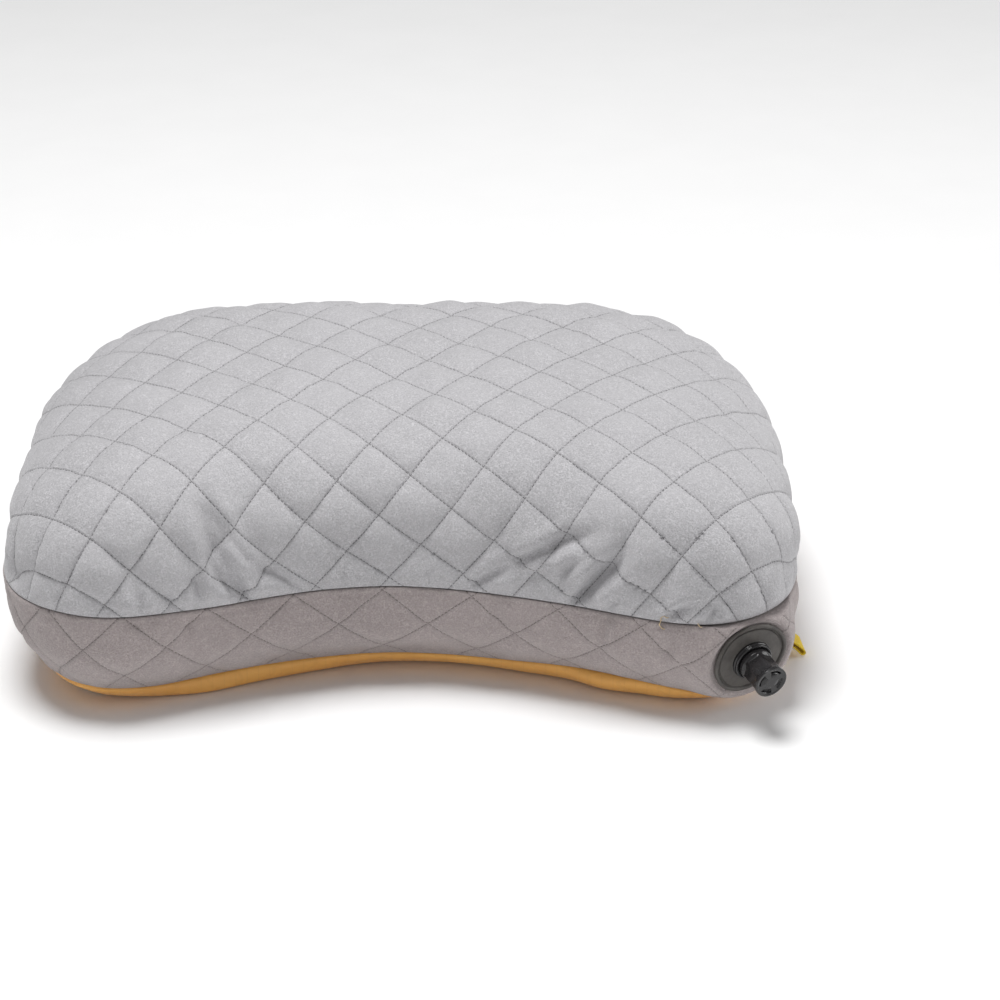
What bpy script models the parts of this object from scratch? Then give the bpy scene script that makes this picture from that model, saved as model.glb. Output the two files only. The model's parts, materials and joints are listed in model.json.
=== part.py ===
"""Camp pillow: a kidney-shaped inflatable travel pillow in a quilted, down-topped cover.

Metres, +Z up. It lies on its flat base at z = 0, with the neck recess facing -Y and the twist
valve on the right front lobe. The crown is sewn to the gusset at the upper seam and the gusset to
the base at the lower seam. The air core lies inside the cover, and its valve comes out of it.
"""

import math

import bmesh
import bpy
import numpy as np
from mathutils import Matrix, Vector

# --- outline of the cover: right half, from the neck recess round to the middle of the back ---
HALF_OUTLINE = [
    (0.0000, -0.1001),  # deepest point of the neck recess
    (0.0888, -0.1208),  # recess runs out into the lobe
    (0.1430, -0.1334),  # front of the lobe
    (0.1817, -0.1060),  # front corner
    (0.1900, -0.0242),  # side
    (0.1891, 0.0264),
    (0.1627, 0.0977),  # back corner
    (0.1285, 0.1254),
    (0.0000, 0.1322),  # middle of the back
]
SEGMENTS = 52  # around the outline, a multiple of 2 so that left and right mirror

# --- heights and section ---
LOWER_SEAM_Z = 0.0100
UPPER_SEAM_Z = 0.0547
CROWN_RISE = 0.0680  # crown above the upper seam
LOWER_SEAM_INSET = 0.0216
UPPER_SEAM_INSET = 0.0050
GUSSET_BULGE = 0.0075
CROWN_CENTRE = (0.0, 0.0085)
CROWN_PLAN_POWER = 3.8
CROWN_RISE_POWER = 3.2
CROWN_ROWS = 7
GUSSET_ROWS = 4
BASE_CURL = 0.0080  # how far the base panel curls in before it lies flat

# --- layers, measured inwards from the outside of the cover ---
GAP = 0.0003
FACE = 0.0010
DOWN_FILL = 0.0060
BATTING = 0.0030
LINING = 0.0005
FILM = 0.0005
BASE_FABRIC = 0.0008
SEAM_CLEAR = 0.0014  # padding stops this far from a seam
BINDING_WIDTH = 0.0045
BINDING_THICK = 0.0014
WELD_WIDTH = 0.0026
WELD_CLEAR = 0.0002

# --- valve: centre on the gusset, axis pointing out ---
VALVE_CENTRE = Vector((0.1600, -0.1212, 0.0330))
VALVE_AXIS = Vector((0.433, -0.887, -0.160)).normalized()
FLANGE_R = 0.0187
NECK_R = 0.0085
NECK_DEPTH = 0.0085
NECK_HOLE_R = 0.0090
FLANGE_BORE_R = 0.0063
COLLAR_R = 0.0090
SPIGOT_R = 0.0060
STEM_R = 0.0045
STEM_BORE_R = 0.0024
STEM_TOP = 0.0172
NOZZLE_R = 0.0072
NOZZLE_FLAT_R = 0.0066
NOZZLE_BORE_R = 0.0058
NOZZLE_FOOT = 0.0049
NOZZLE_TOP = 0.0200
NOZZLE_CAP = 0.0018
SLOT_INNER_R = 0.0043
SLOT_OUTER_R = 0.0055
SLOT_ARC = math.radians(56)
SLOT_TURN = math.radians(-20)
O_RING_R = 0.00515
O_RING_SECTION = 0.00055
O_RING_HEIGHT = 0.0095

# --- pull tab of folded webbing at the right end of the lower seam ---
TAB_SEAM_POINT = (0.1680, -0.0600)  # about where the tab leaves the seam
TAB_WIDTH = 0.014
TAB_LENGTH = 0.0235
TAB_WEB = 0.0007
TAB_LOOP_R = 0.0012
TAB_DROOP = math.radians(9)

# --- colours, linear ---
GREY_FACE = (0.52, 0.51, 0.52, 1.0)
GREY_GUSSET = (0.44, 0.40, 0.39, 1.0)
ORANGE = (0.94, 0.47, 0.13, 1.0)
YELLOW = (0.95, 0.56, 0.03, 1.0)
WHITE_FILL = (0.86, 0.86, 0.84, 1.0)
LINING_GREY = (0.62, 0.62, 0.63, 1.0)
FILM_GREY = (0.55, 0.57, 0.60, 1.0)
BINDING_GREY = (0.30, 0.28, 0.28, 1.0)
VALVE_BLACK = (0.015, 0.014, 0.012, 1.0)
FLANGE_BLACK = (0.035, 0.033, 0.031, 1.0)


def clear_scene():
    for obj in list(bpy.data.objects):
        bpy.data.objects.remove(obj, do_unlink=True)


def material(name, colour, roughness, metallic=0.0):
    mat = bpy.data.materials.new(name)
    mat.use_nodes = True
    shader = mat.node_tree.nodes["Principled BSDF"]
    shader.inputs["Base Color"].default_value = colour
    shader.inputs["Roughness"].default_value = roughness
    shader.inputs["Metallic"].default_value = metallic
    mat.diffuse_color = colour
    return mat


def periodic_spline(knots, points, samples):
    """A closed cubic spline through the points, sampled at the given parameters."""
    n = len(points)
    step = np.diff(knots)
    system = np.zeros((n, n))
    slopes = np.zeros((n, 2))
    for i in range(n):
        h0 = step[i - 1]
        h1 = step[i]
        system[i, i - 1] += h1
        system[i, i] += 2.0 * (h0 + h1)
        system[i, (i + 1) % n] += h0
        before = (points[i] - points[i - 1]) / h0
        after = (points[(i + 1) % n] - points[i]) / h1
        slopes[i] = 3.0 * (h1 * before + h0 * after)
    tangent = np.linalg.solve(system, slopes)
    where = np.clip(np.searchsorted(knots, samples, side="right") - 1, 0, n - 1)
    h = step[where][:, None]
    t = ((samples - knots[where]) / step[where])[:, None]
    a = points[where]
    b = points[(where + 1) % n]
    ta = tangent[where] * h
    tb = tangent[(where + 1) % n] * h
    curve = (2 * t**3 - 3 * t**2 + 1) * a + (t**3 - 2 * t**2 + t) * ta
    return curve + (3 * t**2 - 2 * t**3) * b + (t**3 - t**2) * tb


def cover_outline(count):
    """Points of the outline at equal spacing, anticlockwise from the neck, and their outward normals."""
    half = np.array(HALF_OUTLINE)
    mirrored = (half[1:-1] * (-1.0, 1.0))[::-1]
    points = np.concatenate([half, mirrored])
    around = np.concatenate([points, points[:1]])
    chords = np.linalg.norm(np.diff(around, axis=0), axis=1) ** 0.8
    knots = np.concatenate([[0.0], np.cumsum(chords)])
    dense = periodic_spline(knots, points, np.linspace(0.0, knots[-1], 4001)[:-1])
    closed = np.concatenate([dense, dense[:1]])
    length = np.concatenate([[0.0], np.cumsum(np.linalg.norm(np.diff(closed, axis=0), axis=1))])
    stations = np.linspace(0.0, length[-1], count + 1)[:-1]
    x = np.interp(stations, length, closed[:, 0])
    y = np.interp(stations, length, closed[:, 1])
    curve = np.stack([x, y], axis=-1)
    along = np.roll(curve, -1, axis=0) - np.roll(curve, 1, axis=0)
    along /= np.linalg.norm(along, axis=1)[:, None]
    return curve, np.stack([along[:, 1], -along[:, 0]], axis=-1)


OUTLINE, OUTWARD = cover_outline(SEGMENTS)


def ring(inset, z, scale=1.0):
    """The outline moved in by inset, then drawn towards the crown's centre, at height z."""
    centre = np.array(CROWN_CENTRE)
    flat = centre + (OUTLINE - OUTWARD * inset - centre) * scale
    return np.concatenate([flat, np.full((len(flat), 1), z)], axis=1)


def gusset_ring(t):
    """The outside of the gusset at a share t of the way from the lower to the upper seam."""
    inset = LOWER_SEAM_INSET * (1.0 - t) + UPPER_SEAM_INSET * t - GUSSET_BULGE * math.sin(math.pi * t)
    return ring(inset, LOWER_SEAM_Z + (UPPER_SEAM_Z - LOWER_SEAM_Z) * t)


def crown_profile(count):
    """Shares (plan scale, rise) from the seam towards the crown's centre, at equal spacing."""
    angle = np.linspace(0.0, math.pi / 2, 2001)
    scale = np.cos(angle) ** (2.0 / CROWN_PLAN_POWER)
    rise = np.sin(angle) ** (2.0 / CROWN_RISE_POWER)
    width = 0.15
    run = np.hypot(np.diff(scale) * width, np.diff(rise) * CROWN_RISE)
    length = np.concatenate([[0.0], np.cumsum(run)])
    stations = length[-1] * np.linspace(0.0, 1.0, count + 1)[:-1]
    return [(float(np.interp(s, length, scale)), float(np.interp(s, length, rise))) for s in stations]


def crown_rows():
    rows = [ring(UPPER_SEAM_INSET, UPPER_SEAM_Z + CROWN_RISE * rise, scale)
            for scale, rise in crown_profile(CROWN_ROWS)]
    return np.array(rows)


def gusset_rows(low=0.0, high=1.0):
    return np.array([gusset_ring(t) for t in np.linspace(low, high, GUSSET_ROWS)])


def row_normals(rows, side=1.0):
    """Outward normals of a band of rings, from its own differences."""
    across = np.gradient(rows, axis=0)
    along = np.roll(rows, -1, axis=1) - np.roll(rows, 1, axis=1)
    normal = np.cross(along, across) * side
    return normal / np.linalg.norm(normal, axis=2)[:, :, None]


def deepened(rows, normals, depth):
    return rows - normals * depth


def build(name, vertices, faces, mat):
    mesh = bpy.data.meshes.new(name)
    mesh.from_pydata([tuple(v) for v in vertices], [], faces)
    mesh.validate()
    work = bmesh.new()
    work.from_mesh(mesh)
    bmesh.ops.recalc_face_normals(work, faces=work.faces)
    work.to_mesh(mesh)
    work.free()
    for polygon in mesh.polygons:
        polygon.use_smooth = True
    obj = bpy.data.objects.new(name, mesh)
    obj.data.materials.append(mat)
    bpy.context.scene.collection.objects.link(obj)
    return obj


def loft(name, rings, mat, ends=None):
    """A closed body through the rings. ends is None for a band, or its two centre points."""
    count = len(rings[0])
    vertices = [tuple(p) for row in rings for p in row]
    faces = []
    last = len(rings) if ends is None else len(rings) - 1
    for i in range(last):
        a = i * count
        b = ((i + 1) % len(rings)) * count
        for j in range(count):
            k = (j + 1) % count
            faces.append((a + j, a + k, b + k, b + j))
    if ends is not None:
        first = len(vertices)
        vertices += [tuple(ends[0]), tuple(ends[1])]
        top = (len(rings) - 1) * count
        for j in range(count):
            k = (j + 1) % count
            faces.append((first, k, j))
            faces.append((first + 1, top + j, top + k))
    return build(name, vertices, faces, mat)


def crown_layer(name, depth, thickness, mat, clear):
    """One layer of the crown, domed over from the upper seam, as a closed shell."""
    rows = crown_rows()
    normals = row_normals(rows)
    outer = deepened(rows, normals, depth)
    inner = deepened(rows, normals, depth + thickness)
    outer[0, :, 2] = UPPER_SEAM_Z + clear
    inner[0, :, 2] = UPPER_SEAM_Z + clear
    top = UPPER_SEAM_Z + CROWN_RISE
    centre = Vector((CROWN_CENTRE[0], CROWN_CENTRE[1], 0.0))
    ends = [centre + Vector((0, 0, top - depth)), centre + Vector((0, 0, top - depth - thickness))]
    rings = list(outer[::-1]) + list(inner)
    return loft(name, rings, mat, ends)


def gusset_layer(name, depth, thickness, mat, clear):
    """One layer of the gusset as a closed band between the two seams."""
    margin = clear / (UPPER_SEAM_Z - LOWER_SEAM_Z)
    rows = gusset_rows(margin, 1.0 - margin)
    normals = row_normals(rows)
    outer = deepened(rows, normals, depth)
    inner = deepened(rows, normals, depth + thickness)
    return loft(name, list(outer) + list(inner[::-1]), mat)


def base_panel(mat):
    """The base: it curls in from the lower seam and lies flat at z = 0."""
    outer = []
    inner = []
    for angle in np.linspace(0.0, math.pi / 2, 4):
        curl = 1.0 - math.cos(angle)
        drop = math.sin(angle)
        rim = LOWER_SEAM_Z - GAP / 2
        outer.append(ring(LOWER_SEAM_INSET + BASE_CURL * curl, rim * (1.0 - drop)))
        shorter = BASE_CURL - BASE_FABRIC
        height = rim + (BASE_FABRIC - rim) * drop
        inner.append(ring(LOWER_SEAM_INSET + BASE_FABRIC + shorter * curl, height))
    centre = Vector((CROWN_CENTRE[0], CROWN_CENTRE[1], 0.0))
    ends = [centre, centre + Vector((0, 0, BASE_FABRIC))]
    return loft("base_panel", outer[::-1] + inner, mat, ends)


def seam_binding(name, inset, z, mat):
    """The bound seam allowance, turned to the inside of the cover."""
    start = inset + FACE + GAP
    stop = start + BINDING_WIDTH
    low = z - BINDING_THICK / 2
    high = z + BINDING_THICK / 2
    rings = [ring(start, low), ring(start, high), ring(stop, high), ring(stop, low)]
    return loft(name, rings, mat)


def air_core_upper(mat):
    """The air core's upper film with its half of the edge weld."""
    rows = crown_rows()
    normals = row_normals(rows)
    depth = FACE + DOWN_FILL + LINING + 3 * GAP + 0.0002
    outer = deepened(rows, normals, depth)[1:]
    inner = deepened(rows, normals, depth + FILM)[1:]
    weld_in = UPPER_SEAM_INSET + depth
    weld_out = weld_in - WELD_WIDTH
    low = UPPER_SEAM_Z + WELD_CLEAR
    weld = [
        ring(weld_in, low + FILM + 0.0004),
        ring(weld_out, low + FILM),
        ring(weld_out, low),
        ring(weld_in + FILM, low),
    ]
    top = UPPER_SEAM_Z + CROWN_RISE
    centre = Vector((CROWN_CENTRE[0], CROWN_CENTRE[1], 0.0))
    ends = [centre + Vector((0, 0, top - depth)), centre + Vector((0, 0, top - depth - FILM))]
    return loft("air_core_upper_film", list(outer[::-1]) + weld + list(inner), mat, ends)


def air_core_lower(mat):
    """The air core's lower film: wall, floor and its half of the edge weld."""
    depth = FACE + BATTING + LINING + 3 * GAP + 0.0004
    margin = SEAM_CLEAR / (UPPER_SEAM_Z - LOWER_SEAM_Z)
    rows = gusset_rows(margin, 1.0 - margin)
    normals = row_normals(rows)
    outer = deepened(rows, normals, depth)[1:]
    inner = deepened(rows, normals, depth + FILM)[1:]
    weld_in = UPPER_SEAM_INSET + FACE + DOWN_FILL + LINING + 3 * GAP + 0.0002 + FILM
    high = UPPER_SEAM_Z - WELD_CLEAR
    weld = [
        ring(weld_in - WELD_WIDTH, high),
        ring(weld_in, high),
        ring(weld_in, high - FILM),
        ring(weld_in - WELD_WIDTH + FILM, high - FILM),
    ]
    foot = LOWER_SEAM_INSET + BASE_CURL
    floor = BASE_FABRIC + GAP + 0.0001
    outer_foot = [ring(foot + 0.0040, floor), ring(foot + 0.0015, 0.0040), ring(foot + 0.0010, 0.0095)]
    inner_foot = [
        ring(foot + 0.0044, floor + FILM),
        ring(foot + 0.0020, 0.0043),
        ring(foot + 0.0015, 0.0093),
    ]
    centre = Vector((CROWN_CENTRE[0], CROWN_CENTRE[1], 0.0))
    ends = [centre + Vector((0, 0, floor)), centre + Vector((0, 0, floor + FILM))]
    path = outer_foot + list(outer) + weld + list(inner[::-1]) + inner_foot[::-1]
    return loft("air_core_lower_film", path, mat, ends)


def valve_frame():
    """Places a shape modelled round +Z, with its foot at the origin, on the valve's axis."""
    up = Vector((0, 0, 1))
    side = up.cross(VALVE_AXIS).normalized()
    rise = VALVE_AXIS.cross(side).normalized()
    turn = Matrix((side, rise, VALVE_AXIS)).transposed().to_4x4()
    return Matrix.Translation(VALVE_CENTRE) @ turn


def turned(name, section, count, mat, centres=None):
    """A turned body. section is a closed loop of (radius, height); a radius may be a function of angle."""
    rings = []
    for radius, height in section:
        row = []
        for i in range(count):
            angle = 2.0 * math.pi * i / count
            r = radius(angle) if callable(radius) else radius
            row.append((r * math.cos(angle), r * math.sin(angle), height))
        rings.append(row)
    ends = None if centres is None else [(0, 0, centres[0]), (0, 0, centres[1])]
    obj = loft(name, rings, mat, ends)
    obj.matrix_world = valve_frame()
    return obj


def cut(obj, cutter):
    modifier = obj.modifiers.new("cut", "BOOLEAN")
    modifier.operation = "DIFFERENCE"
    modifier.solver = "EXACT"
    modifier.object = cutter
    cutter.hide_render = True
    cutter.display_type = "WIRE"


def nozzle_flats(angle):
    """Radius of the nozzle's grip: six flats round the barrel."""
    step = math.pi / 3
    off = (angle + step / 2) % step - step / 2
    return min(NOZZLE_R, NOZZLE_FLAT_R / math.cos(off))


def valve_flange(mat):
    """Soft outer disc with a bead round its rim, and the neck that joins it to the air core."""
    under = 0.0005
    top = 0.0017
    section = [
        (FLANGE_BORE_R, top),
        (FLANGE_R - 0.0035, top),
        (FLANGE_R - 0.0019, top - 0.0004),
        (FLANGE_R - 0.0013, 0.0021),
        (FLANGE_R - 0.0004, 0.0021),
        (FLANGE_R, 0.0015),
        (FLANGE_R, under),
        (NECK_R, under),
        (NECK_R, -NECK_DEPTH),
        (FLANGE_BORE_R, -NECK_DEPTH),
    ]
    return turned("valve_flange", section, 48, mat)


def valve_stem(mat):
    """Hard collar with the spigot that plugs into the flange and the stem the nozzle turns on."""
    section = [
        (STEM_BORE_R, -0.0075),
        (SPIGOT_R, -0.0075),
        (SPIGOT_R, 0.0020),
        (COLLAR_R, 0.0020),
        (COLLAR_R, 0.0038),
        (COLLAR_R - 0.0008, 0.0044),
        (STEM_R, 0.0044),
        (STEM_R, STEM_TOP - 0.0006),
        (STEM_R - 0.0006, STEM_TOP),
        (STEM_BORE_R, STEM_TOP),
    ]
    return turned("valve_stem", section, 40, mat)


def valve_nozzle(mat):
    """Twist nozzle: a sleeve with grip flats and four curved slots in its end."""
    section = [
        (NOZZLE_BORE_R, NOZZLE_TOP - NOZZLE_CAP),
        (NOZZLE_BORE_R, NOZZLE_FOOT),
        (NOZZLE_R, NOZZLE_FOOT),
        (NOZZLE_R, 0.0075),
        (nozzle_flats, 0.0083),
        (nozzle_flats, 0.0172),
        (NOZZLE_R, 0.0180),
        (NOZZLE_R, NOZZLE_TOP - 0.0009),
        (NOZZLE_R - 0.0009, NOZZLE_TOP),
    ]
    centres = (NOZZLE_TOP - NOZZLE_CAP, NOZZLE_TOP)
    obj = turned("valve_nozzle", section, 48, mat, centres)
    for i in range(4):
        middle = SLOT_TURN + math.pi / 2 * i
        angles = np.linspace(middle - SLOT_ARC / 2, middle + SLOT_ARC / 2, 7)
        vertices = []
        for height in (NOZZLE_TOP - NOZZLE_CAP - 0.001, NOZZLE_TOP + 0.001):
            for radius in (SLOT_INNER_R, SLOT_OUTER_R):
                vertices += [(radius * math.cos(a), radius * math.sin(a), height) for a in angles]
        n = len(angles)
        faces = []
        for j in range(n - 1):
            a, b = j, j + 1
            faces.append((a, b, n + b, n + a))
            faces.append((2 * n + a, 3 * n + a, 3 * n + b, 2 * n + b))
            faces.append((a, 2 * n + a, 2 * n + b, b))
            faces.append((n + a, n + b, 3 * n + b, 3 * n + a))
        faces.append((0, n, 3 * n, 2 * n))
        faces.append((n - 1, 3 * n - 1, 4 * n - 1, 2 * n - 1))
        cutter = build(f"cut_nozzle_slot_{i}", vertices, faces, mat)
        cutter.matrix_world = valve_frame()
        cut(obj, cutter)
    return obj


def valve_o_ring(mat):
    section = []
    for i in range(10):
        angle = 2.0 * math.pi * i / 10
        radius = O_RING_R + O_RING_SECTION * math.cos(angle)
        section.append((radius, O_RING_HEIGHT + O_RING_SECTION * math.sin(angle)))
    return turned("valve_o_ring", section, 36, mat)


def neck_cutter(name, mat):
    """A cylinder on the valve's axis that opens a layer of the gusset for the neck."""
    section = [(NECK_HOLE_R, -0.016), (NECK_HOLE_R, 0.012)]
    return turned(name, section, 32, mat, (-0.016, 0.012))


def tab_loop(mat):
    """Folded webbing sewn into the lower seam. Its origin is on the line it flexes about."""
    seam = OUTLINE - OUTWARD * LOWER_SEAM_INSET
    nearest = int(np.argmin(np.linalg.norm(seam - np.array(TAB_SEAM_POINT), axis=1)))
    out = Vector((*OUTWARD[nearest], 0.0))
    pivot = Vector((*seam[nearest], LOWER_SEAM_Z)) + out * 0.0012
    across = Vector((0, 0, 1)).cross(out)
    along = out * math.cos(TAB_DROOP) - Vector((0, 0, 1)) * math.sin(TAB_DROOP)
    up = along.cross(across)
    up = up if up.z > 0 else -up
    start = 0.0008
    end = TAB_LENGTH - TAB_LOOP_R - TAB_WEB
    half = TAB_WEB + 0.00015
    outer = [(start, half), (0.008, half)]
    inner = [(0.008, 0.00015), (end, TAB_LOOP_R)]
    outer.append((end, TAB_LOOP_R + TAB_WEB))
    for i in range(1, 8):
        angle = math.pi / 2 - math.pi * i / 8
        outer.append((end + (TAB_LOOP_R + TAB_WEB) * math.cos(angle), (TAB_LOOP_R + TAB_WEB) * math.sin(angle)))
        inner.append((end + TAB_LOOP_R * math.cos(angle), TAB_LOOP_R * math.sin(angle)))
    outer += [(end, -TAB_LOOP_R - TAB_WEB), (0.008, -half), (start, -half)]
    inner += [(end, -TAB_LOOP_R), (0.008, -0.00015)]
    section = outer + [(start, -0.00015)] + inner[::-1] + [(start, 0.00015)]
    vertices = []
    for side in (-TAB_WIDTH / 2, TAB_WIDTH / 2):
        for run, rise in section:
            vertices.append(tuple(across * side + along * run + up * rise))
    n = len(section)
    faces = [(i, (i + 1) % n, n + (i + 1) % n, n + i) for i in range(n)]
    faces.append(tuple(range(n))[::-1])
    faces.append(tuple(range(n, 2 * n)))
    obj = build("tab_loop", vertices, faces, mat)
    for polygon in obj.data.polygons:
        polygon.use_smooth = False
    obj.location = pivot
    return obj


def main():
    clear_scene()
    face = material("brushed_microfibre_top", GREY_FACE, 0.95)
    side = material("brushed_microfibre_gusset", GREY_GUSSET, 0.95)
    fill = material("down_fill", WHITE_FILL, 0.95)
    batting = material("batting", WHITE_FILL, 0.95)
    lining = material("lining", LINING_GREY, 0.75)
    film = material("air_core_film", FILM_GREY, 0.35)
    nylon = material("base_nylon", ORANGE, 0.45)
    tape = material("seam_binding", BINDING_GREY, 0.85)
    black = material("valve_plastic", VALVE_BLACK, 0.22)
    soft = material("valve_flange_pvc", FLANGE_BLACK, 0.55)
    seal = material("seal_rubber", VALVE_BLACK, 0.6)
    webbing = material("tab_webbing", YELLOW, 0.7)

    crown_layer("top_face_fabric", 0.0, FACE, face, GAP / 2)
    crown_layer("top_down_fill", FACE + GAP, DOWN_FILL, fill, SEAM_CLEAR)
    crown_layer("top_lining", FACE + DOWN_FILL + 2 * GAP, LINING, lining, SEAM_CLEAR)
    air_core_upper(film)

    layers = [
        gusset_layer("gusset_face_fabric", 0.0, FACE, side, GAP / 2),
        gusset_layer("gusset_batting", FACE + GAP, BATTING, batting, SEAM_CLEAR),
        gusset_layer("gusset_lining", FACE + BATTING + 2 * GAP, LINING, lining, SEAM_CLEAR),
        air_core_lower(film),
    ]
    for layer in layers:
        cut(layer, neck_cutter(f"cut_{layer.name}", side))

    base_panel(nylon)
    seam_binding("upper_seam_binding", UPPER_SEAM_INSET, UPPER_SEAM_Z, tape)
    seam_binding("lower_seam_binding", LOWER_SEAM_INSET, LOWER_SEAM_Z, tape)
    valve_flange(soft)
    valve_stem(black)
    valve_nozzle(black)
    valve_o_ring(seal)
    tab_loop(webbing)


main()
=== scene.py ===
"""Camp pillow, the looks: quilted cover, nylon base, twist valve and pull tab around the CAD frame.

Metres, +Z up, in the CAD model's frame. The crown and the gusset are padded shells. Between their
stitch lines they swell by a formula for each quilted cell, and cloth simulation adds to that.
Puckers, seams and folds move the vertices of the same fine meshes.
"""

import json
import math

import bmesh
import bpy
import numpy as np
from mathutils import Matrix, Vector, noise


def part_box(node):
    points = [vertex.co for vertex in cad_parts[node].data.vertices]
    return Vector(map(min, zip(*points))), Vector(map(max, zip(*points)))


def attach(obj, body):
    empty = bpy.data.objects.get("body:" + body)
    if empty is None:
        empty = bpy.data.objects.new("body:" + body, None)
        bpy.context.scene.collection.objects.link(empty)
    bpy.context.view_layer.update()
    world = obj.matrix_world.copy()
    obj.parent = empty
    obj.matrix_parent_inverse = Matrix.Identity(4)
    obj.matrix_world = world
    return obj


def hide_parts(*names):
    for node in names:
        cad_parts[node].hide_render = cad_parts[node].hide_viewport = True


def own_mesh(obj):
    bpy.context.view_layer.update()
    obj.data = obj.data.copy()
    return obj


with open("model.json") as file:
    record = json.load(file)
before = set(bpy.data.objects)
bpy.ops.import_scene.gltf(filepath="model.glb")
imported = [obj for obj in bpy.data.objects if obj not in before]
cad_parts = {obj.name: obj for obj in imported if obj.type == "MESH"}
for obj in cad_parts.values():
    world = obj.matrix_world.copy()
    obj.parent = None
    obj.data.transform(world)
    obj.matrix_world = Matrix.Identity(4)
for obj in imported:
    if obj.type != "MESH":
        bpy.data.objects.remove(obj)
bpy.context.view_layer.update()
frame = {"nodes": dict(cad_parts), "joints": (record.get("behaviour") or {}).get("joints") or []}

# --- the cover's shape, as the CAD model has it ---
HALF_OUTLINE = [
    (0.0000, -0.1001),  # deepest point of the neck recess
    (0.0888, -0.1208),  # recess runs out into the lobe
    (0.1430, -0.1334),  # front of the lobe
    (0.1817, -0.1060),  # front corner
    (0.1900, -0.0242),  # side
    (0.1891, 0.0264),
    (0.1627, 0.0977),  # back corner
    (0.1285, 0.1254),
    (0.0000, 0.1322),  # middle of the back
]
LOWER_SEAM_Z = 0.0100
LOWER_SEAM_INSET = 0.0216
UPPER_SEAM_INSET = 0.0050
GUSSET_BULGE = 0.0075
CROWN_CENTRE = np.array((0.0, 0.0085))
CROWN_PLAN_POWER = 3.8
CROWN_RISE_POWER = 3.2
BASE_CURL = 0.0080

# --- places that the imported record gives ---
JOINTS = {joint["name"]: joint for joint in frame["joints"]}
SEAM_Z = JOINTS["press"]["deforming_nodes"][0]["fixed_end_z_m"]
CROWN_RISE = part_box("top_face_fabric")[1].z - SEAM_Z
VALVE_CENTRE = Vector(JOINTS["nozzle_twist"]["pos_m"])
VALVE_AXIS = Vector(JOINTS["nozzle_twist"]["axis"]).normalized()
TAB_PIVOT = Vector(JOINTS["tab_flex"]["pos_m"])
TAB_ACROSS = Vector(JOINTS["tab_flex"]["axis"]).normalized()

# --- how fine the meshes are ---
CROWN_HALF = 120  # squares from the middle of the crown to its seam
AROUND = 8 * CROWN_HALF  # vertices round the seam
GUSSET_ROWS = 44
BASE_ROWS = 9
SEAM_GAP = 0.00010
CROWN_DEPTH = 0.0078  # thickness of the padded crown
GUSSET_DEPTH = 0.0048
BASE_DEPTH = 0.0008
FILM_DEPTH = 0.0086  # the air core's film under the crown
FILM = 0.0005
INNER_RINGS = 9  # rings of the gusset's inner skin
GROUND_RINGS = 13  # rings of the base that lie flat on the ground
ROLL_IN = 0.0008  # how far a sewn edge rolls in at its seam, and over what height
ROLL_HEIGHT = 0.0011
TAPE_CLEAR = 0.0010  # room inside the seam for its binding

# --- quilting: spacing of the stitch lines, in metres, and the size of what they make ---
CROWN_CELL = 0.0255
GUSSET_CELL = 0.0272
GUSSET_CELLS_AROUND = 29
GUSSET_CELL_RISE = 0.0385
GUSSET_WIDTH = 0.0502  # from seam to seam along the cloth
GUSSET_MIDDLE = 0.0293  # height of the stitch crossings above the lower seam, and its swing
GUSSET_SWING = 0.0048
GUSSET_START = 0.0125  # the first crossing is this far round from the neck
# The number of a stitch line on the crown is start + a x + b y + c x^2 + d x y, in tenths of a metre.
# A scratch script fitted the five values to crossings seen in the photograph.
CROWN_RISING_LINES = (-0.076, 3.099, -2.193, -0.128, -0.171)
CROWN_FALLING_LINES = (2.359, 2.648, 2.882, 0.074, -0.075)
PUCKER_GAIN = 2.0
SIDE_SAG = 0.0032  # extra bulge low on the right front
LEFT_TRIM = 0.0034  # the left side is this much slimmer than the right
CROWN_PUFF = 0.0019
FRONT_PUFF = 0.7  # the front's cells stand out this much more
GUSSET_PUFF = 0.0013
STITCH_PITCH = 0.0021
STITCH_SHARE = 0.64
STITCH_HALF_WIDTH = 0.00022
BESIDE_LATTICE = (0.5, 0.5)  # lattice place of hidden faces, in the middle of a cell

# --- cloth simulation of the swell between the stitch lines ---
CLOTH_FRAMES = 20
CLOTH_EASE = -0.03  # the cloth grows by this share of its size
CLOTH_CAP = 0.0040
PRESSURE = 4.0
STITCH_HOLD = 0.9
CLOTH_GAIN = 0.8  # share of the simulated swell that is added
CROWN_EASE = 0.0009  # taken off the swell, so that it starts from a slightly smaller shape
GUSSET_EASE = 0.0009

# --- the base's fold: place along x, half width and how far it stands out ---
BASE_FOLD = (0.086, 0.013, 0.0035)

# --- the base's cloth: its yarns and the grid of thicker ones ---
YARN_PITCH = 0.00045
RIPSTOP_PITCH = 0.0052

# --- pull tab ---
TAB_LENGTH = 0.0235
TAB_WIDTH = 0.0100
TAB_SHIFT = 0.0018  # the tab lies this much towards the front of its CAD solid
TAB_ROOM = 0.0020  # the gusset stands back this much over the tab's root
TAB_SKEW = 0.07  # one selvedge is this much longer than the middle
TAB_WEB = 0.0007  # thickness of the webbing
TAB_LOOP = 0.0008  # inner radius of the loop at its end

# --- valve: radii from its axis, heights above the cover ---
DISC_EDGE = 0.0188
BED_EDGE = 0.0186  # the cloth lies flat out to here
NECK_HOLE = 0.0090
NOZZLE_TOP = 0.0200
NOZZLE_FLAT = 0.0068
SLOT_INSIDE = 0.0052
SLOT_OUTSIDE = 0.0062
SLOT_FOOT = 0.0110

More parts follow.
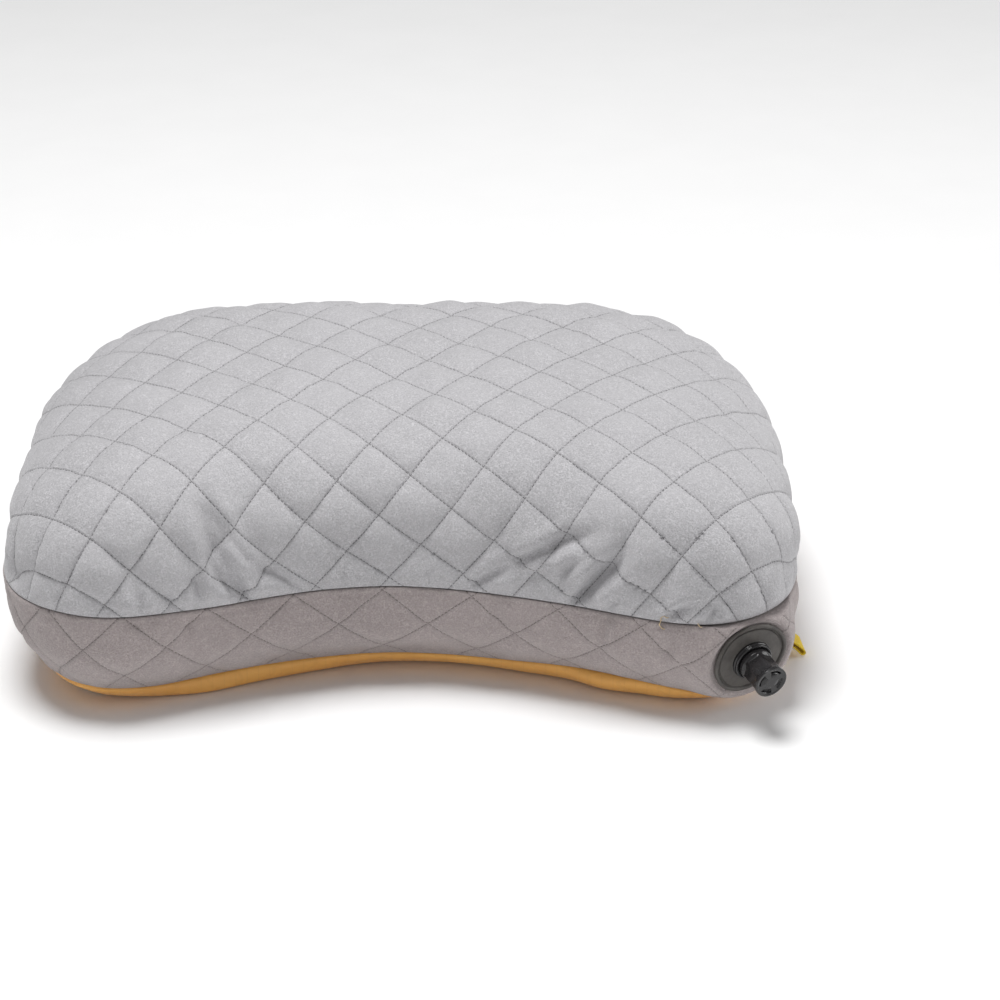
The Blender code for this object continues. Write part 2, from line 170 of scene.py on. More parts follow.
# --- loose thread ends in the upper seam: (x, height above the seam) along each strand ---
LOOSE_ENDS = [
    [(0.1185, 0.0010), (0.1188, 0.0024), (0.1200, 0.0034), (0.1212, 0.0026), (0.1220, 0.0030)],
    [(0.1190, 0.0012), (0.1180, -0.0014), (0.1192, -0.0030), (0.1206, -0.0034)],
    [(0.1352, 0.0006), (0.1362, -0.0010), (0.1372, -0.0012)],
]
STRAND_POINTS = 16
STRAND_SIDES = 6
STRAND_RADIUS = 0.00024

# --- colours, linear ---
CROWN_COLOUR = (0.495, 0.487, 0.503, 1.0)
GUSSET_COLOUR = (0.395, 0.345, 0.340, 1.0)
ORANGE = (1.0, 0.50, 0.130, 1.0)
YELLOW = (1.0, 0.66, 0.010, 1.0)
THREAD = (0.085, 0.082, 0.085, 1.0)
GUSSET_THREAD = (0.11, 0.095, 0.085, 1.0)
THREAD_TAN = (0.80, 0.62, 0.38, 1.0)
TAPE_GREY = (0.30, 0.28, 0.28, 1.0)
FILM_GREY = (0.55, 0.57, 0.60, 1.0)
VALVE_BLACK = (0.016, 0.015, 0.016, 1.0)
FLANGE_GREY = (0.072, 0.065, 0.059, 1.0)

# --- lights: name, place, size, power; and the even light of the studio ---
LIGHTS = [
    ("overhead", (-0.25, -0.12, 1.95), 0.9, 32.0),
    ("right_fill", (1.9, 0.1, 0.7), 1.2, 12.0),
    ("low_front", (0.15, -1.9, 0.12), 1.3, 2.0),
]
LIGHT_AIM = (0.0, 0.0, 0.05)
WORLD_STRENGTH = 0.29
FLOOR_HALF = 3.0
FLOOR_DROP = 0.0004

# --- camera: where it stands, what it looks at, and its lens in millimetres ---
CAMERA_PLACE = (0.04499, -1.16721, 0.64619)
CAMERA_AIM = (0.0465, -0.0089, 0.056)
CAMERA_LENS = 95.56
CAMERA_SENSOR = 36.0

# The tables below are places on the object in millimetres. They were read off the photograph, turned
# into millimetres through the fitted camera by scratch scripts, rounded, and adjusted by eye.

# --- puckers eased into the upper seam: (x, height above the seam) at both ends, depth, half width; mm ---
CROWN_PUCKERS = [
    (-69, 0, -93, 58, 2.6, 3.4),
    (-75, 3, -89, 34, 1.6, 2.2),
    (-43, 1, -68, 21, 1.3, 2.2),
    (-68, 21, -93, 60, 1.2, 2.6),
    (-90, 6, -91, 20, 1.0, 2.0),
    (-115, 2, -116, 20, 1.0, 2.2),
    (-101, 2, -105, 14, 0.8, 1.8),
    (30, 0, 55, 20, 1.4, 2.6),
    (55, 20, 96, 43, 1.5, 3.0),
    (75, 16, 83, 27, 1.0, 2.2),
    (80, 2, 107, 37, 2.2, 3.2),
    (95, 1, 100, 11, 1.1, 2.0),
    (120, 0, 133, 13, 1.8, 2.2),
    (138, 0, 145, 11, 1.6, 2.0),
    (10, 0, 18, 12, 0.7, 2.0),
    (-20, 0, -28, 12, 0.7, 2.0),
]
# --- the same for the gusset: (x, height above the lower seam) at both ends ---
GUSSET_PUCKERS = [
    (94, 46, 92, 26, 0.8, 2.0),
    (44, 46, 47, 30, 0.5, 2.2),
    (126, 44, 120, 24, 0.5, 2.4),
    (-96, 45, -92, 24, 0.6, 2.4),
    (-60, 8, -66, 22, 0.4, 2.4),
]
# --- how far the upper seam stands above its usual height along the front: (x, mm) ---
UPPER_SEAM_WAVE = [
    (-175, 4.2), (-153, 4.2), (-116, 1.7), (-80, -0.6), (-41, 0.4), (-8, 0.4), (23, -0.4), (46, -0.9),
    (77, -0.6), (105, -0.6), (128, -0.9), (147, -1.2), (158, -1.6), (172, -1.8), (185, -1.8),
]
# --- the lower seam's rise and the base's belly along the front: (x, mm) ---
BASE_SEAM_WAVE = [
    (-154, 1.8), (-126, 0.4), (-103, -1.3), (-75, -0.3), (-39, -0.1), (-9, 0.2), (21, -0.3), (46, -0.1),
    (78, 1.9), (104, 1.2), (130, -0.4), (140, -1.4), (157, -2.6), (172, -1.5), (183, 1.2), (195, 1.2),
]
BASE_BELLY = [
    (-170, -11.0), (-150, -10.0), (-126, -7.0), (-103, 0.5), (-83, 6.5), (-62, 4.0), (-39, 1.6),
    (-9, -4.1), (21, -5.1), (52, -2.0), (73, -2.7), (111, -1.3), (140, -5.0), (165, -3.0),
]


# ---------------------------------------------------------------- shape functions
def periodic_spline(knots, points, samples):
    """A closed cubic spline through the points, sampled at the given parameters."""
    n = len(points)
    step = np.diff(knots)
    system = np.zeros((n, n))
    slopes = np.zeros((n, 2))
    for i in range(n):
        h0 = step[i - 1]
        h1 = step[i]
        system[i, i - 1] += h1
        system[i, i] += 2.0 * (h0 + h1)
        system[i, (i + 1) % n] += h0
        before = (points[i] - points[i - 1]) / h0
        after = (points[(i + 1) % n] - points[i]) / h1
        slopes[i] = 3.0 * (h1 * before + h0 * after)
    tangent = np.linalg.solve(system, slopes)
    where = np.clip(np.searchsorted(knots, samples, side="right") - 1, 0, n - 1)
    h = step[where][:, None]
    t = ((samples - knots[where]) / step[where])[:, None]
    a = points[where]
    b = points[(where + 1) % n]
    ta = tangent[where] * h
    tb = tangent[(where + 1) % n] * h
    curve = (2 * t**3 - 3 * t**2 + 1) * a + (t**3 - 2 * t**2 + t) * ta
    return curve + (3 * t**2 - 2 * t**3) * b + (t**3 - t**2) * tb


def outline_table():
    """The outline anticlockwise from the neck: shares of its length, points and outward normals."""
    half = np.array(HALF_OUTLINE)
    mirrored = (half[1:-1] * (-1.0, 1.0))[::-1]
    points = np.concatenate([half, mirrored])
    around = np.concatenate([points, points[:1]])
    chords = np.linalg.norm(np.diff(around, axis=0), axis=1) ** 0.8
    knots = np.concatenate([[0.0], np.cumsum(chords)])
    dense = periodic_spline(knots, points, np.linspace(0.0, knots[-1], 6001)[:-1])
    closed = np.concatenate([dense, dense[:1]])
    run = np.concatenate([[0.0], np.cumsum(np.linalg.norm(np.diff(closed, axis=0), axis=1))])
    along = np.roll(dense, -1, axis=0) - np.roll(dense, 1, axis=0)
    along /= np.linalg.norm(along, axis=1)[:, None]
    outward = np.stack([along[:, 1], -along[:, 0]], axis=-1)
    return run[:-1] / run[-1], dense, outward


OUTLINE = outline_table()


def outline(u):
    """Points and outward normals at shares u of the way round."""
    share, points, outward = OUTLINE
    u = np.mod(u, 1.0)
    picked = [np.interp(u, share, column, period=1.0) for column in (*points.T, *outward.T)]
    return np.stack(picked[:2], axis=-1), np.stack(picked[2:], axis=-1)


def profile_table():
    """The crown's meridian: shares from the seam to the middle, plan scale and rise."""
    angle = np.linspace(0.0, math.pi / 2, 4001)
    scale = np.cos(angle) ** (2.0 / CROWN_PLAN_POWER)
    scale[-1] = 0.0
    rise = np.sin(angle) ** (2.0 / CROWN_RISE_POWER)
    run = np.hypot(np.diff(scale) * 0.15, np.diff(rise) * CROWN_RISE)
    share = np.concatenate([[0.0], np.cumsum(run)])
    return share / share[-1], scale, rise


PROFILE = profile_table()


def crown_surface(u, v):
    """Points at shares u round the seam and v from the seam to the middle."""
    edge, outward = outline(u)
    scale = np.interp(v, PROFILE[0], PROFILE[1])
    rise = np.interp(v, PROFILE[0], PROFILE[2])
    flat = CROWN_CENTRE + (edge - outward * UPPER_SEAM_INSET - CROWN_CENTRE) * scale[..., None]
    return np.concatenate([flat, (SEAM_Z + CROWN_RISE * rise)[..., None]], axis=-1)


def gusset_surface(u, t):
    """Points at shares u round the gusset and t from the lower to the upper seam."""
    edge, outward = outline(u)
    inset = LOWER_SEAM_INSET * (1.0 - t) + UPPER_SEAM_INSET * t - GUSSET_BULGE * np.sin(math.pi * t)
    flat = edge - outward * inset[..., None]
    height = LOWER_SEAM_Z + (SEAM_Z - LOWER_SEAM_Z) * t
    return np.concatenate([flat, height[..., None]], axis=-1)


def surface_normal(surface, u, v):
    """Outward unit normals of a surface, by differences."""
    step = 1e-3
    along = surface(u + step, v) - surface(u - step, v)
    across = surface(u, np.minimum(v + step, 1.0)) - surface(u, np.maximum(v - step, 0.0))
    normal = np.cross(along, across)
    length = np.linalg.norm(normal, axis=-1, keepdims=True)
    upright = np.broadcast_to((0.0, 0.0, 1.0), normal.shape)
    return np.where(length > 1e-12, normal / np.maximum(length, 1e-12), upright)


def smooth(low, high, value):
    """0 below low, 1 above high, eased in between. high may be under low."""
    t = np.clip((value - low) / (high - low), 0.0, 1.0)
    return t * t * (3.0 - 2.0 * t)


def meridian_arcs(u, v):
    """Along the crown's surface: (arc from the middle, arc from the seam, arc less the plan distance)."""
    edge, outward = outline(u)
    reach = np.linalg.norm(edge - outward * UPPER_SEAM_INSET - CROWN_CENTRE, axis=-1)
    share, scale, rise = PROFILE
    grid = np.linspace(reach.min() - 1e-6, reach.max() + 1e-6, 40)
    run = np.hypot(np.diff(scale) * grid[:, None], np.diff(rise) * CROWN_RISE)
    arcs = np.concatenate([np.zeros((len(grid), 1)), np.cumsum(run, axis=1)], axis=1)
    row = (reach - grid[0]) / (grid[1] - grid[0])
    low = np.clip(row.astype(int), 0, len(grid) - 2)
    column = np.interp(v, share, np.arange(len(share)))
    left = np.clip(column.astype(int), 0, len(share) - 2)
    part_row = row - low
    part_column = column - left

    def at(i, j):
        return arcs[low + i, left + j]

    lower = at(0, 0) * (1 - part_column) + at(0, 1) * part_column
    upper = at(1, 0) * (1 - part_column) + at(1, 1) * part_column
    from_seam = lower * (1 - part_row) + upper * part_row
    total = arcs[low, -1] * (1 - part_row) + arcs[low + 1, -1] * part_row
    from_middle = total - from_seam
    return from_middle, from_seam, from_middle - reach * np.interp(v, share, scale)


def line_number(family, x, y):
    start, by_x, by_y, by_xx, by_xy = family
    return start + by_x * x + by_y * y + by_xx * x**2 + by_xy * x * y


def crown_lattice(u, v):
    """Stitch-line numbers of both families on the crown; whole numbers lie on a line."""
    _, outward = outline(u)
    _, _, extra = meridian_arcs(u, v)
    sideways = 0.2 + 0.8 * smooth(-0.55, 0.05, outward[..., 1])
    spread = outward * np.stack([sideways, np.full_like(sideways, 1.3)], axis=-1) * extra[..., None]
    flat = (crown_surface(u, v)[..., :2] + spread) / 0.1
    x, y = flat[..., 0], flat[..., 1]
    return line_number(CROWN_RISING_LINES, x, y), line_number(CROWN_FALLING_LINES, x, y)


def gusset_lattice(u, t):
    """The same on the gusset. It closes on itself after a whole number of cells."""
    round_ring, _ = outline(np.linspace(0.0, 1.0, 2001))
    length = np.linalg.norm(np.diff(round_ring, axis=0), axis=1).sum()
    along = (u - GUSSET_START / length) * GUSSET_CELLS_AROUND
    swing = GUSSET_SWING * np.sin(2.0 * math.pi * u)
    height = (GUSSET_WIDTH * t - GUSSET_MIDDLE + swing) / GUSSET_CELL_RISE
    return along + height, height - along


def fraction_parabola(value):
    part = value - np.floor(value)
    return 4.0 * part * (1.0 - part)


def cell_variation(rising, falling):
    """A fixed number from 0 to 1 for each quilted cell."""
    mixed = np.sin(np.floor(rising) * 12.9898 + np.floor(falling) * 78.233) * 43758.5453
    return mixed - np.floor(mixed)


def puckers(x, height, table):
    """Depth of the eased folds at plan x and height from a seam: a valley between two soft ridges."""
    total = np.zeros_like(x)
    for x0, h0, x1, h1, depth, width in table:
        start = np.array((x0, h0)) * 0.001
        run = np.array((x1, h1)) * 0.001 - start
        length = np.linalg.norm(run)
        run /= length
        away = np.stack([x - start[0], height - start[1]], axis=-1)
        along = away @ run
        across = away @ np.array((-run[1], run[0]))
        near = smooth(-0.004, 0.003, along) * smooth(1.05, 0.50, along / length)
        width = width * 0.001 * (0.75 + 0.5 * np.clip(along / length, 0.0, 1.0))
        valley = -np.exp(-(across / width) ** 2)
        ridge = 0.55 * np.exp(-((np.abs(across) - 2.1 * width) / (1.2 * width)) ** 2)
        total += depth * 0.001 * near * (valley + ridge)
    return total


def eased_table(x, table):
    """The table's millimetre values at plan x, rounded off between its rows."""
    at, value = np.array(table, float).T * 0.001
    nudges = np.linspace(-0.008, 0.008, 9)
    return np.mean([np.interp(x + nudge, at, value) for nudge in nudges], axis=0)


def rough(points, size, seed):
    """Smooth noise, about -1 to 1, with features of the given size."""
    shift = Vector((seed * 3.1, seed * 1.7, seed * 2.3))
    flat = points.reshape(-1, 3) / size
    values = np.array([noise.noise(Vector(p) + shift) for p in flat])
    return values.reshape(points.shape[:-1]) * 1.6


# ---------------------------------------------------------------- meshes
def mesh_object(name, vertices, faces, mat=None, uvs=None):
    """A smooth-shaded object. uvs, one pair for each face corner, go into the map named lattice."""
    mesh = bpy.data.meshes.new(name)
    mesh.from_pydata([tuple(p) for p in vertices], [], faces)
    if uvs is not None:
        layer = mesh.uv_layers.new(name="lattice")
        layer.data.foreach_set("uv", np.asarray(uvs, np.float32).ravel())
    mesh.shade_smooth()
    obj = bpy.data.objects.new(name, mesh)
    bpy.context.scene.collection.objects.link(obj)
    if mat is not None:
        mesh.materials.append(mat)
    return obj


def graded(count, first, rows, both=False):
    """Shares from 0 to 1 whose steps start small and grow over the first rows, or from both ends."""
    index = np.arange(count)
    steps = np.interp(index, [0, rows], [first, 1.0])
    if both:
        steps = np.minimum(steps, steps[::-1])
    return np.concatenate([[0.0], np.cumsum(steps)]) / steps.sum()


def square_grid(half):
    """(share round, ring number) of a square mesh whose concentric squares become rings of the crown."""
    index = np.arange(-half, half + 1)
    a, b = np.meshgrid(index, index, indexing="ij")
    ring = np.maximum(np.abs(a), np.abs(b))
    k = 8.0 * np.maximum(ring, 1)
    share = np.where(-b == ring, a / k, 0.0)
    share = np.where((a == ring) & (-b != ring), 0.25 + b / k, share)
    share = np.where((b == ring) & (a != ring), 0.50 - a / k, share)
    share = np.where((-a == ring) & (b != ring) & (-b != ring), 0.75 - b / k, share)
    share = np.where(ring == 0, 0.0, share)
    return np.mod(share, 1.0), ring


def square_faces(half):
    side = 2 * half + 1
    start = np.arange(side * side).reshape(side, side)
    quads = np.stack([start[:-1, :-1], start[1:, :-1], start[1:, 1:], start[:-1, 1:]], axis=-1)
    return quads.reshape(-1, 4)


def square_edge(half):
    """Indices of the square mesh's outer ring, anticlockwise from the middle of the front side."""
    share, ring = square_grid(half)
    outer = np.flatnonzero(ring.ravel() == half)
    return outer[np.argsort(share.ravel()[outer])]


def band_faces(rows, count, start=0, closed=False):
    """Quads between rings of count vertices, facing out for rings that go up anticlockwise."""
    i, j = np.meshgrid(np.arange(rows if closed else rows - 1), np.arange(count), indexing="ij")
    k = (j + 1) % count
    up = (i + 1) % rows
    quads = np.stack([i * count + j, i * count + k, up * count + k, up * count + j], axis=-1)
    return start + quads.reshape(-1, 4)


def lid_faces(first, count, rows):
    """Triangles that close the first and last ring of a band with the two vertices after it."""
    top = (rows - 1) * count
    faces = []
    for j in range(count):
        k = (j + 1) % count
        faces.append((first, k, j))
        faces.append((first + 1, top + j, top + k))
    return faces


def halving_faces(wide, narrow):
    """Triangles between a ring and another with half as many vertices."""
    faces = []
    n = len(narrow)
    for j in range(n):
        a, b, c = wide[2 * j], wide[2 * j + 1], wide[(2 * j + 2) % (2 * n)]
        d, e = narrow[j], narrow[(j + 1) % n]
        faces += [(a, b, d), (b, e, d), (b, c, e)]
    return faces


def revolve(section, count, radial=None):
    """Rings of vertices turned round +Z, one for each (radius, height) of the section."""
    angle = np.arange(count) * 2.0 * math.pi / count
    rows = []
    for radius, height in section:
        r = radius if radial is None else radial(radius, height, angle)
        r = np.broadcast_to(r, angle.shape)
        rows.append(np.stack([r * np.cos(angle), r * np.sin(angle), np.full(count, height)], axis=-1))
    return np.array(rows)


def filleted(corners, radius, steps=4):
    """The closed loop of corners, each rounded off by up to the given radius."""
    points = [np.array(p, float) for p in corners]
    loop = []
    for i, corner in enumerate(points):
        before = points[i - 1] - corner
        after = points[(i + 1) % len(points)] - corner
        cut = min(radius, 0.42 * np.linalg.norm(before), 0.42 * np.linalg.norm(after))
        start = corner + before / np.linalg.norm(before) * cut
        stop = corner + after / np.linalg.norm(after) * cut
        for k in range(steps + 1):
            t = k / steps
            loop.append(tuple((1 - t) ** 2 * start + 2 * t * (1 - t) * corner + t * t * stop))
    return loop


def recalculated(obj):
    work = bmesh.new()
    work.from_mesh(obj.data)
    bmesh.ops.recalc_face_normals(work, faces=work.faces)
    work.to_mesh(obj.data)
    work.free()
    return obj


def valve_matrix():
    up = Vector((0, 0, 1))
    side = up.cross(VALVE_AXIS).normalized()
    rise = VALVE_AXIS.cross(side).normalized()
    return Matrix.Translation(VALVE_CENTRE) @ Matrix((side, rise, VALVE_AXIS)).transposed().to_4x4()


def valve_body(name, rows, mat, cap=None):
    """A closed body from turned rings, set on the valve's axis."""
    count = rows.shape[1]
    vertices = rows.reshape(-1, 3)
    faces = band_faces(len(rows), count, closed=cap is None).tolist()
    if cap is not None:
        faces += lid_faces(len(vertices), count, len(rows))
        vertices = np.concatenate([vertices, [(0, 0, cap[0]), (0, 0, cap[1])]])
    obj = recalculated(mesh_object(name, vertices, faces, mat))
    obj.data.transform(valve_matrix())
    return obj


def cut_with(obj, cutter):
    """Takes the cutter's shape out of obj for good."""
    modifier = obj.modifiers.new("cut", "BOOLEAN")
    modifier.operation = "DIFFERENCE"
    modifier.solver = "EXACT"
    modifier.object = cutter
    graph = bpy.context.evaluated_depsgraph_get()
    made = bpy.data.meshes.new_from_object(obj.evaluated_get(graph))
    obj.modifiers.clear()
    obj.data = made
    bpy.data.objects.remove(cutter)


# ---------------------------------------------------------------- cloth
def inflate(name, vertices, faces, held):
    """How far each vertex moves when the mesh is blown up as cloth. held is 0 free to 1 pinned."""
    obj = mesh_object(name, vertices, faces)
    group = obj.vertex_groups.new(name="held")
    levels = np.round(np.clip(held, 0.0, 1.0) * 20.0) / 20.0
    for level in np.unique(levels):
        group.add(np.flatnonzero(levels == level).tolist(), float(level), "REPLACE")
    modifier = obj.modifiers.new("cloth", "CLOTH")
    cloth = modifier.settings
    cloth.quality = 5
    cloth.mass = 0.12
    cloth.tension_stiffness = 12.0
    cloth.compression_stiffness = 12.0
    cloth.shear_stiffness = 4.0
    cloth.bending_stiffness = 0.4
    cloth.air_damping = 4.0
    cloth.vertex_group_mass = "held"
    cloth.pin_stiffness = 2.0
    cloth.use_pressure = True
    cloth.uniform_pressure_force = PRESSURE
    cloth.effector_weights.gravity = 0.0
    cloth.shrink_min = CLOTH_EASE
    modifier.point_cache.frame_start = 1
    modifier.point_cache.frame_end = CLOTH_FRAMES
    for number in range(1, CLOTH_FRAMES + 1):
        bpy.context.scene.frame_set(number)
    graph = bpy.context.evaluated_depsgraph_get()
    solved = obj.evaluated_get(graph).to_mesh()
    points = np.zeros(len(vertices) * 3)
    solved.vertices.foreach_get("co", points)
    obj.evaluated_get(graph).to_mesh_clear()
    mesh = obj.data
    bpy.data.objects.remove(obj)
    bpy.data.meshes.remove(mesh)
    bpy.context.scene.frame_set(1)
    return points.reshape(-1, 3) - vertices


def doubled(field, axis, closed):
    """The field at twice the fineness along an axis, by the four-point rule."""
    field = np.moveaxis(field, axis, 0)
    if closed:
        wide = np.concatenate([field[-1:], field, field[:2]])
    else:
        wide = np.concatenate([2 * field[:1] - field[1:2], field, 2 * field[-1:] - field[-2:-1]])
    middle = (9.0 * (wide[1:-2] + wide[2:-1]) - wide[:-3] - wide[3:]) / 16.0
    count = 2 * len(field) if closed else 2 * len(field) - 1
    fine = np.zeros((count, *field.shape[1:]))
    fine[::2] = field
    fine[1::2] = middle
    return np.moveaxis(fine, 0, axis)


def stitch_held(rising, falling, cell):
    """How firmly the stitch lines hold the cloth: most on a line, nothing between the lines."""
    nearest = np.minimum(np.abs(rising - np.round(rising)), np.abs(falling - np.round(falling)))
    return STITCH_HOLD * (1.0 - smooth(0.0006, 0.0022, nearest * cell))


def softened(field, times, closed):
    """The field with its finest bumps averaged out. closed says that its second axis runs round."""
    for _ in range(times):
        padded = np.pad(field, ((1, 1), (0, 0)), mode="edge")
        field = 0.25 * padded[:-2] + 0.5 * field + 0.25 * padded[2:]
        padded = np.pad(field, ((0, 0), (1, 1)), mode="wrap" if closed else "edge")
        field = 0.25 * padded[:, :-2] + 0.5 * field + 0.25 * padded[:, 2:]
    return field


def simulated_swell(name, points, normal, faces, held, closed):
    """Outward moves of a coarse mesh blown up as cloth, capped, softened and made twice as fine."""
    moves = inflate(name, points.reshape(-1, 3), faces.tolist(), held.ravel())
    along = np.einsum("...i,...i->...", moves.reshape(points.shape), normal)
    along = CLOTH_CAP * np.tanh(np.clip(along, -CLOTH_CAP, None) / CLOTH_CAP)
    return doubled(doubled(softened(along, 2, closed), 0, False), 1, closed)


# ---------------------------------------------------------------- the padded cover
def seam_wave(u):
    """How far the upper seam stands above its usual height, at shares u round."""
    edge, outward = outline(u)
    return eased_table(edge[..., 0], UPPER_SEAM_WAVE) * smooth(0.45, -0.35, outward[..., 1])


def lifted_with_seam(points, u):
    """Crown points moved up or down with the seam's wave, less and less towards the top."""
    fade = np.exp(-np.maximum(points[..., 2] - SEAM_Z, 0.0) / 0.022)
    lifted = points.copy()
    lifted[..., 2] += seam_wave(u) * fade
    return lifted


def crown_rows(half):
    """Share v of each ring, from the middle (0) out to the seam (half)."""
    return graded(CROWN_HALF, 0.28, 14)[:: CROWN_HALF // half][::-1]


def crown_strengths(x):
    """How hard each family of stitch lines pulls: more the falling one at left, the rising at right."""
    right = smooth(-0.05, 0.05, x)
    return 0.34 + 0.26 * right, 0.60 - 0.26 * right


def quilt_shape(rising, falling, strong_rising, strong_falling):
    """Height of the puffs between stitch lines, 0 on a line and 1 in the middle of a cell."""
    return fraction_parabola(rising) ** strong_rising * fraction_parabola(falling) ** strong_falling


def tuck_in(points, outward, distance):
    """Rolls a sewn edge in, at points closer than ROLL_HEIGHT to its seam."""
    roll = np.clip(1.0 - distance / ROLL_HEIGHT, 0.0, 1.0)
    tuck = ROLL_IN * (1.0 - np.sqrt(1.0 - roll**2))
    points[..., :2] -= outward * tuck[..., None]


def crown_grid(half):
    """Shares round, ring numbers and shares from the seam to the middle, over the square mesh."""
    share, ring = square_grid(half)
    return share, ring, crown_rows(half)[ring]


def crown_puff():
    """Outward swell of the crown between its stitch lines, by formula, at the fine mesh's vertices."""
    share, _, v = crown_grid(CROWN_HALF)
    rising, falling = crown_lattice(share, v)
    _, height, _ = meridian_arcs(share, v)
    x = crown_surface(share, v)[..., 0]
    swell = quilt_shape(rising, falling, *crown_strengths(x))
    size = 0.75 + 0.5 * cell_variation(rising, falling)
    low_front = smooth(-0.3, -0.9, outline(share)[1][..., 1]) * smooth(0.090, 0.040, height)
    return CROWN_PUFF * swell * size * (1.0 + FRONT_PUFF * low_front)


def crown_simulated():
    """More swell by cloth simulation, held at the seam and along the stitch lines."""
    half = CROWN_HALF // 2
    share, ring, v = crown_grid(half)
    points = crown_surface(share, v)
    normal = surface_normal(crown_surface, share, v)
    held = stitch_held(*crown_lattice(share, v), CROWN_CELL)
    held = np.where(ring == half, 1.0, held)
    return simulated_swell("crown_cloth", points, normal, square_faces(half), held, False)


def crown_skin(share, v, swell):
    """The crown's outer skin: swell, puckers and unevenness, rolled in at the upper seam."""
    points = crown_surface(share, v)
    normal = surface_normal(crown_surface, share, v)
    _, height, _ = meridian_arcs(share, v)
    _, outward = outline(share)
    front = smooth(0.02, -0.03, points[..., 1])
    moved = swell + PUCKER_GAIN * puckers(points[..., 0], height, CROWN_PUCKERS) * front
    moved += 0.0010 * rough(points, 0.045, 1) * smooth(0.0, 0.02, height)
    moved += 0.00035 * rough(points, 0.010, 2)
    left = smooth(-0.3, -0.9, outward[..., 0])
    moved -= LEFT_TRIM * left * smooth(0.045, 0.018, height)
    moved *= smooth(-0.0005, 0.0085, height)
    points = points + normal * moved[..., None]
    tuck_in(points, outward, height)
    points[..., 2] = np.maximum(points[..., 2], SEAM_Z + SEAM_GAP)
    return lifted_with_seam(points, share).reshape(-1, 3)


def crown_rims(share):
    """Rings that run inwards under the crown's edge and leave room for the binding."""
    edge, outward = outline(share)
    rims = []
    for inset in (0.0016, 0.0045, 0.0072):
        flat = edge - outward * (UPPER_SEAM_INSET + inset)
        rim = np.concatenate([flat, np.full((AROUND, 1), SEAM_Z + TAPE_CLEAR)], axis=1)
        rims.append(lifted_with_seam(rim, share))
    return rims


def crown_inside(half):
    """The crown's inner skin, on a coarser mesh."""
    share, _, v = crown_grid(half)
    inner = crown_surface(share, v)
    inner -= surface_normal(crown_surface, share, v) * CROWN_DEPTH
    inner[..., 2] = np.maximum(inner[..., 2], SEAM_Z + TAPE_CLEAR + 0.0002)
    return lifted_with_seam(inner, share).reshape(-1, 3)


def crown_cover(mat, swell):
    """Quilted top: a closed padded shell of an outer skin, rims under its edge and an inner skin."""
    half = CROWN_HALF // 2
    share, _, v = crown_grid(CROWN_HALF)
    wide = square_edge(CROWN_HALF)
    outer = crown_skin(share, v, swell)
    rims = crown_rims(share.ravel()[wide])
    vertices = np.concatenate([outer, *rims, crown_inside(half)])
    faces = square_faces(CROWN_HALF).tolist()
    lattice = np.stack([value.ravel() for value in crown_lattice(share, v)], axis=-1)
    uvs = lattice[np.array(faces)].reshape(-1, 2).tolist()
    rings = [wide] + [len(outer) + i * AROUND + np.arange(AROUND) for i in range(len(rims))]
    hidden = []
    for upper, lower in zip(rings[:-1], rings[1:]):
        for j in range(AROUND):
            k = (j + 1) % AROUND
            hidden.append((upper[k], upper[j], lower[j], lower[k]))
    start = len(outer) + len(rims) * AROUND
    hidden += [(c, b, a) for a, b, c in halving_faces(rings[-1], start + square_edge(half))]
    hidden += [tuple(f[::-1]) for f in (square_faces(half) + start)]
    faces += [tuple(int(i) for i in f) for f in hidden]
    uvs += [BESIDE_LATTICE] * sum(len(f) for f in hidden)
    return recalculated(mesh_object("crown_cover", vertices, faces, mat, uvs))


def core_film(mat):
    """Upper film of the air core, a thin dome under the crown."""
    half = CROWN_HALF // 3
    share, _, v = crown_grid(half)
    points = crown_surface(share, v)
    normal = surface_normal(crown_surface, share, v)
    skins = []
    for depth in (FILM_DEPTH, FILM_DEPTH + FILM):
        skin = points - normal * depth
        skin[..., 2] = np.maximum(skin[..., 2], SEAM_Z + TAPE_CLEAR)
        skins.append(skin.reshape(-1, 3))
    count = len(skins[0])
    faces = square_faces(half).tolist()
    faces += [tuple(f[::-1]) for f in (square_faces(half) + count).tolist()]
    rim = square_edge(half).tolist()
    for j, a in enumerate(rim):
        b = rim[(j + 1) % len(rim)]
        faces.append((b, a, a + count, b + count))
    return recalculated(mesh_object("air_core_top", np.concatenate(skins), faces, mat))


def base_wave(u):
    """How far the lower seam stands above its usual height, at shares u round."""
    edge, outward = outline(u)
    front = smooth(0.3, -0.3, outward[..., 1])
    ripple = 0.0006 * np.sin(2 * math.pi * 7 * u)
    return eased_table(edge[..., 0], BASE_SEAM_WAVE) * front + ripple * (1 - front)


def gusset_puff():
    """Outward swell of the gusset between its stitch lines, by formula, at the fine mesh's vertices."""
    u, t = gusset_grid(GUSSET_ROWS, AROUND)
    rising, falling = gusset_lattice(u, t)
    swell = quilt_shape(rising, falling, 0.45, 0.45)
    size = 0.75 + 0.5 * cell_variation(rising, falling)
    return GUSSET_PUFF * swell * size * (0.3 + 0.7 * smooth(0.0, 0.12, np.minimum(t, 1.0 - t)))


def gusset_grid(rows, count):
    t = graded(rows, 0.28, 8 * rows / GUSSET_ROWS, both=True)
    u = np.arange(count) / count
    return np.broadcast_to(u, (rows + 1, count)), np.broadcast_to(t[:, None], (rows + 1, count))


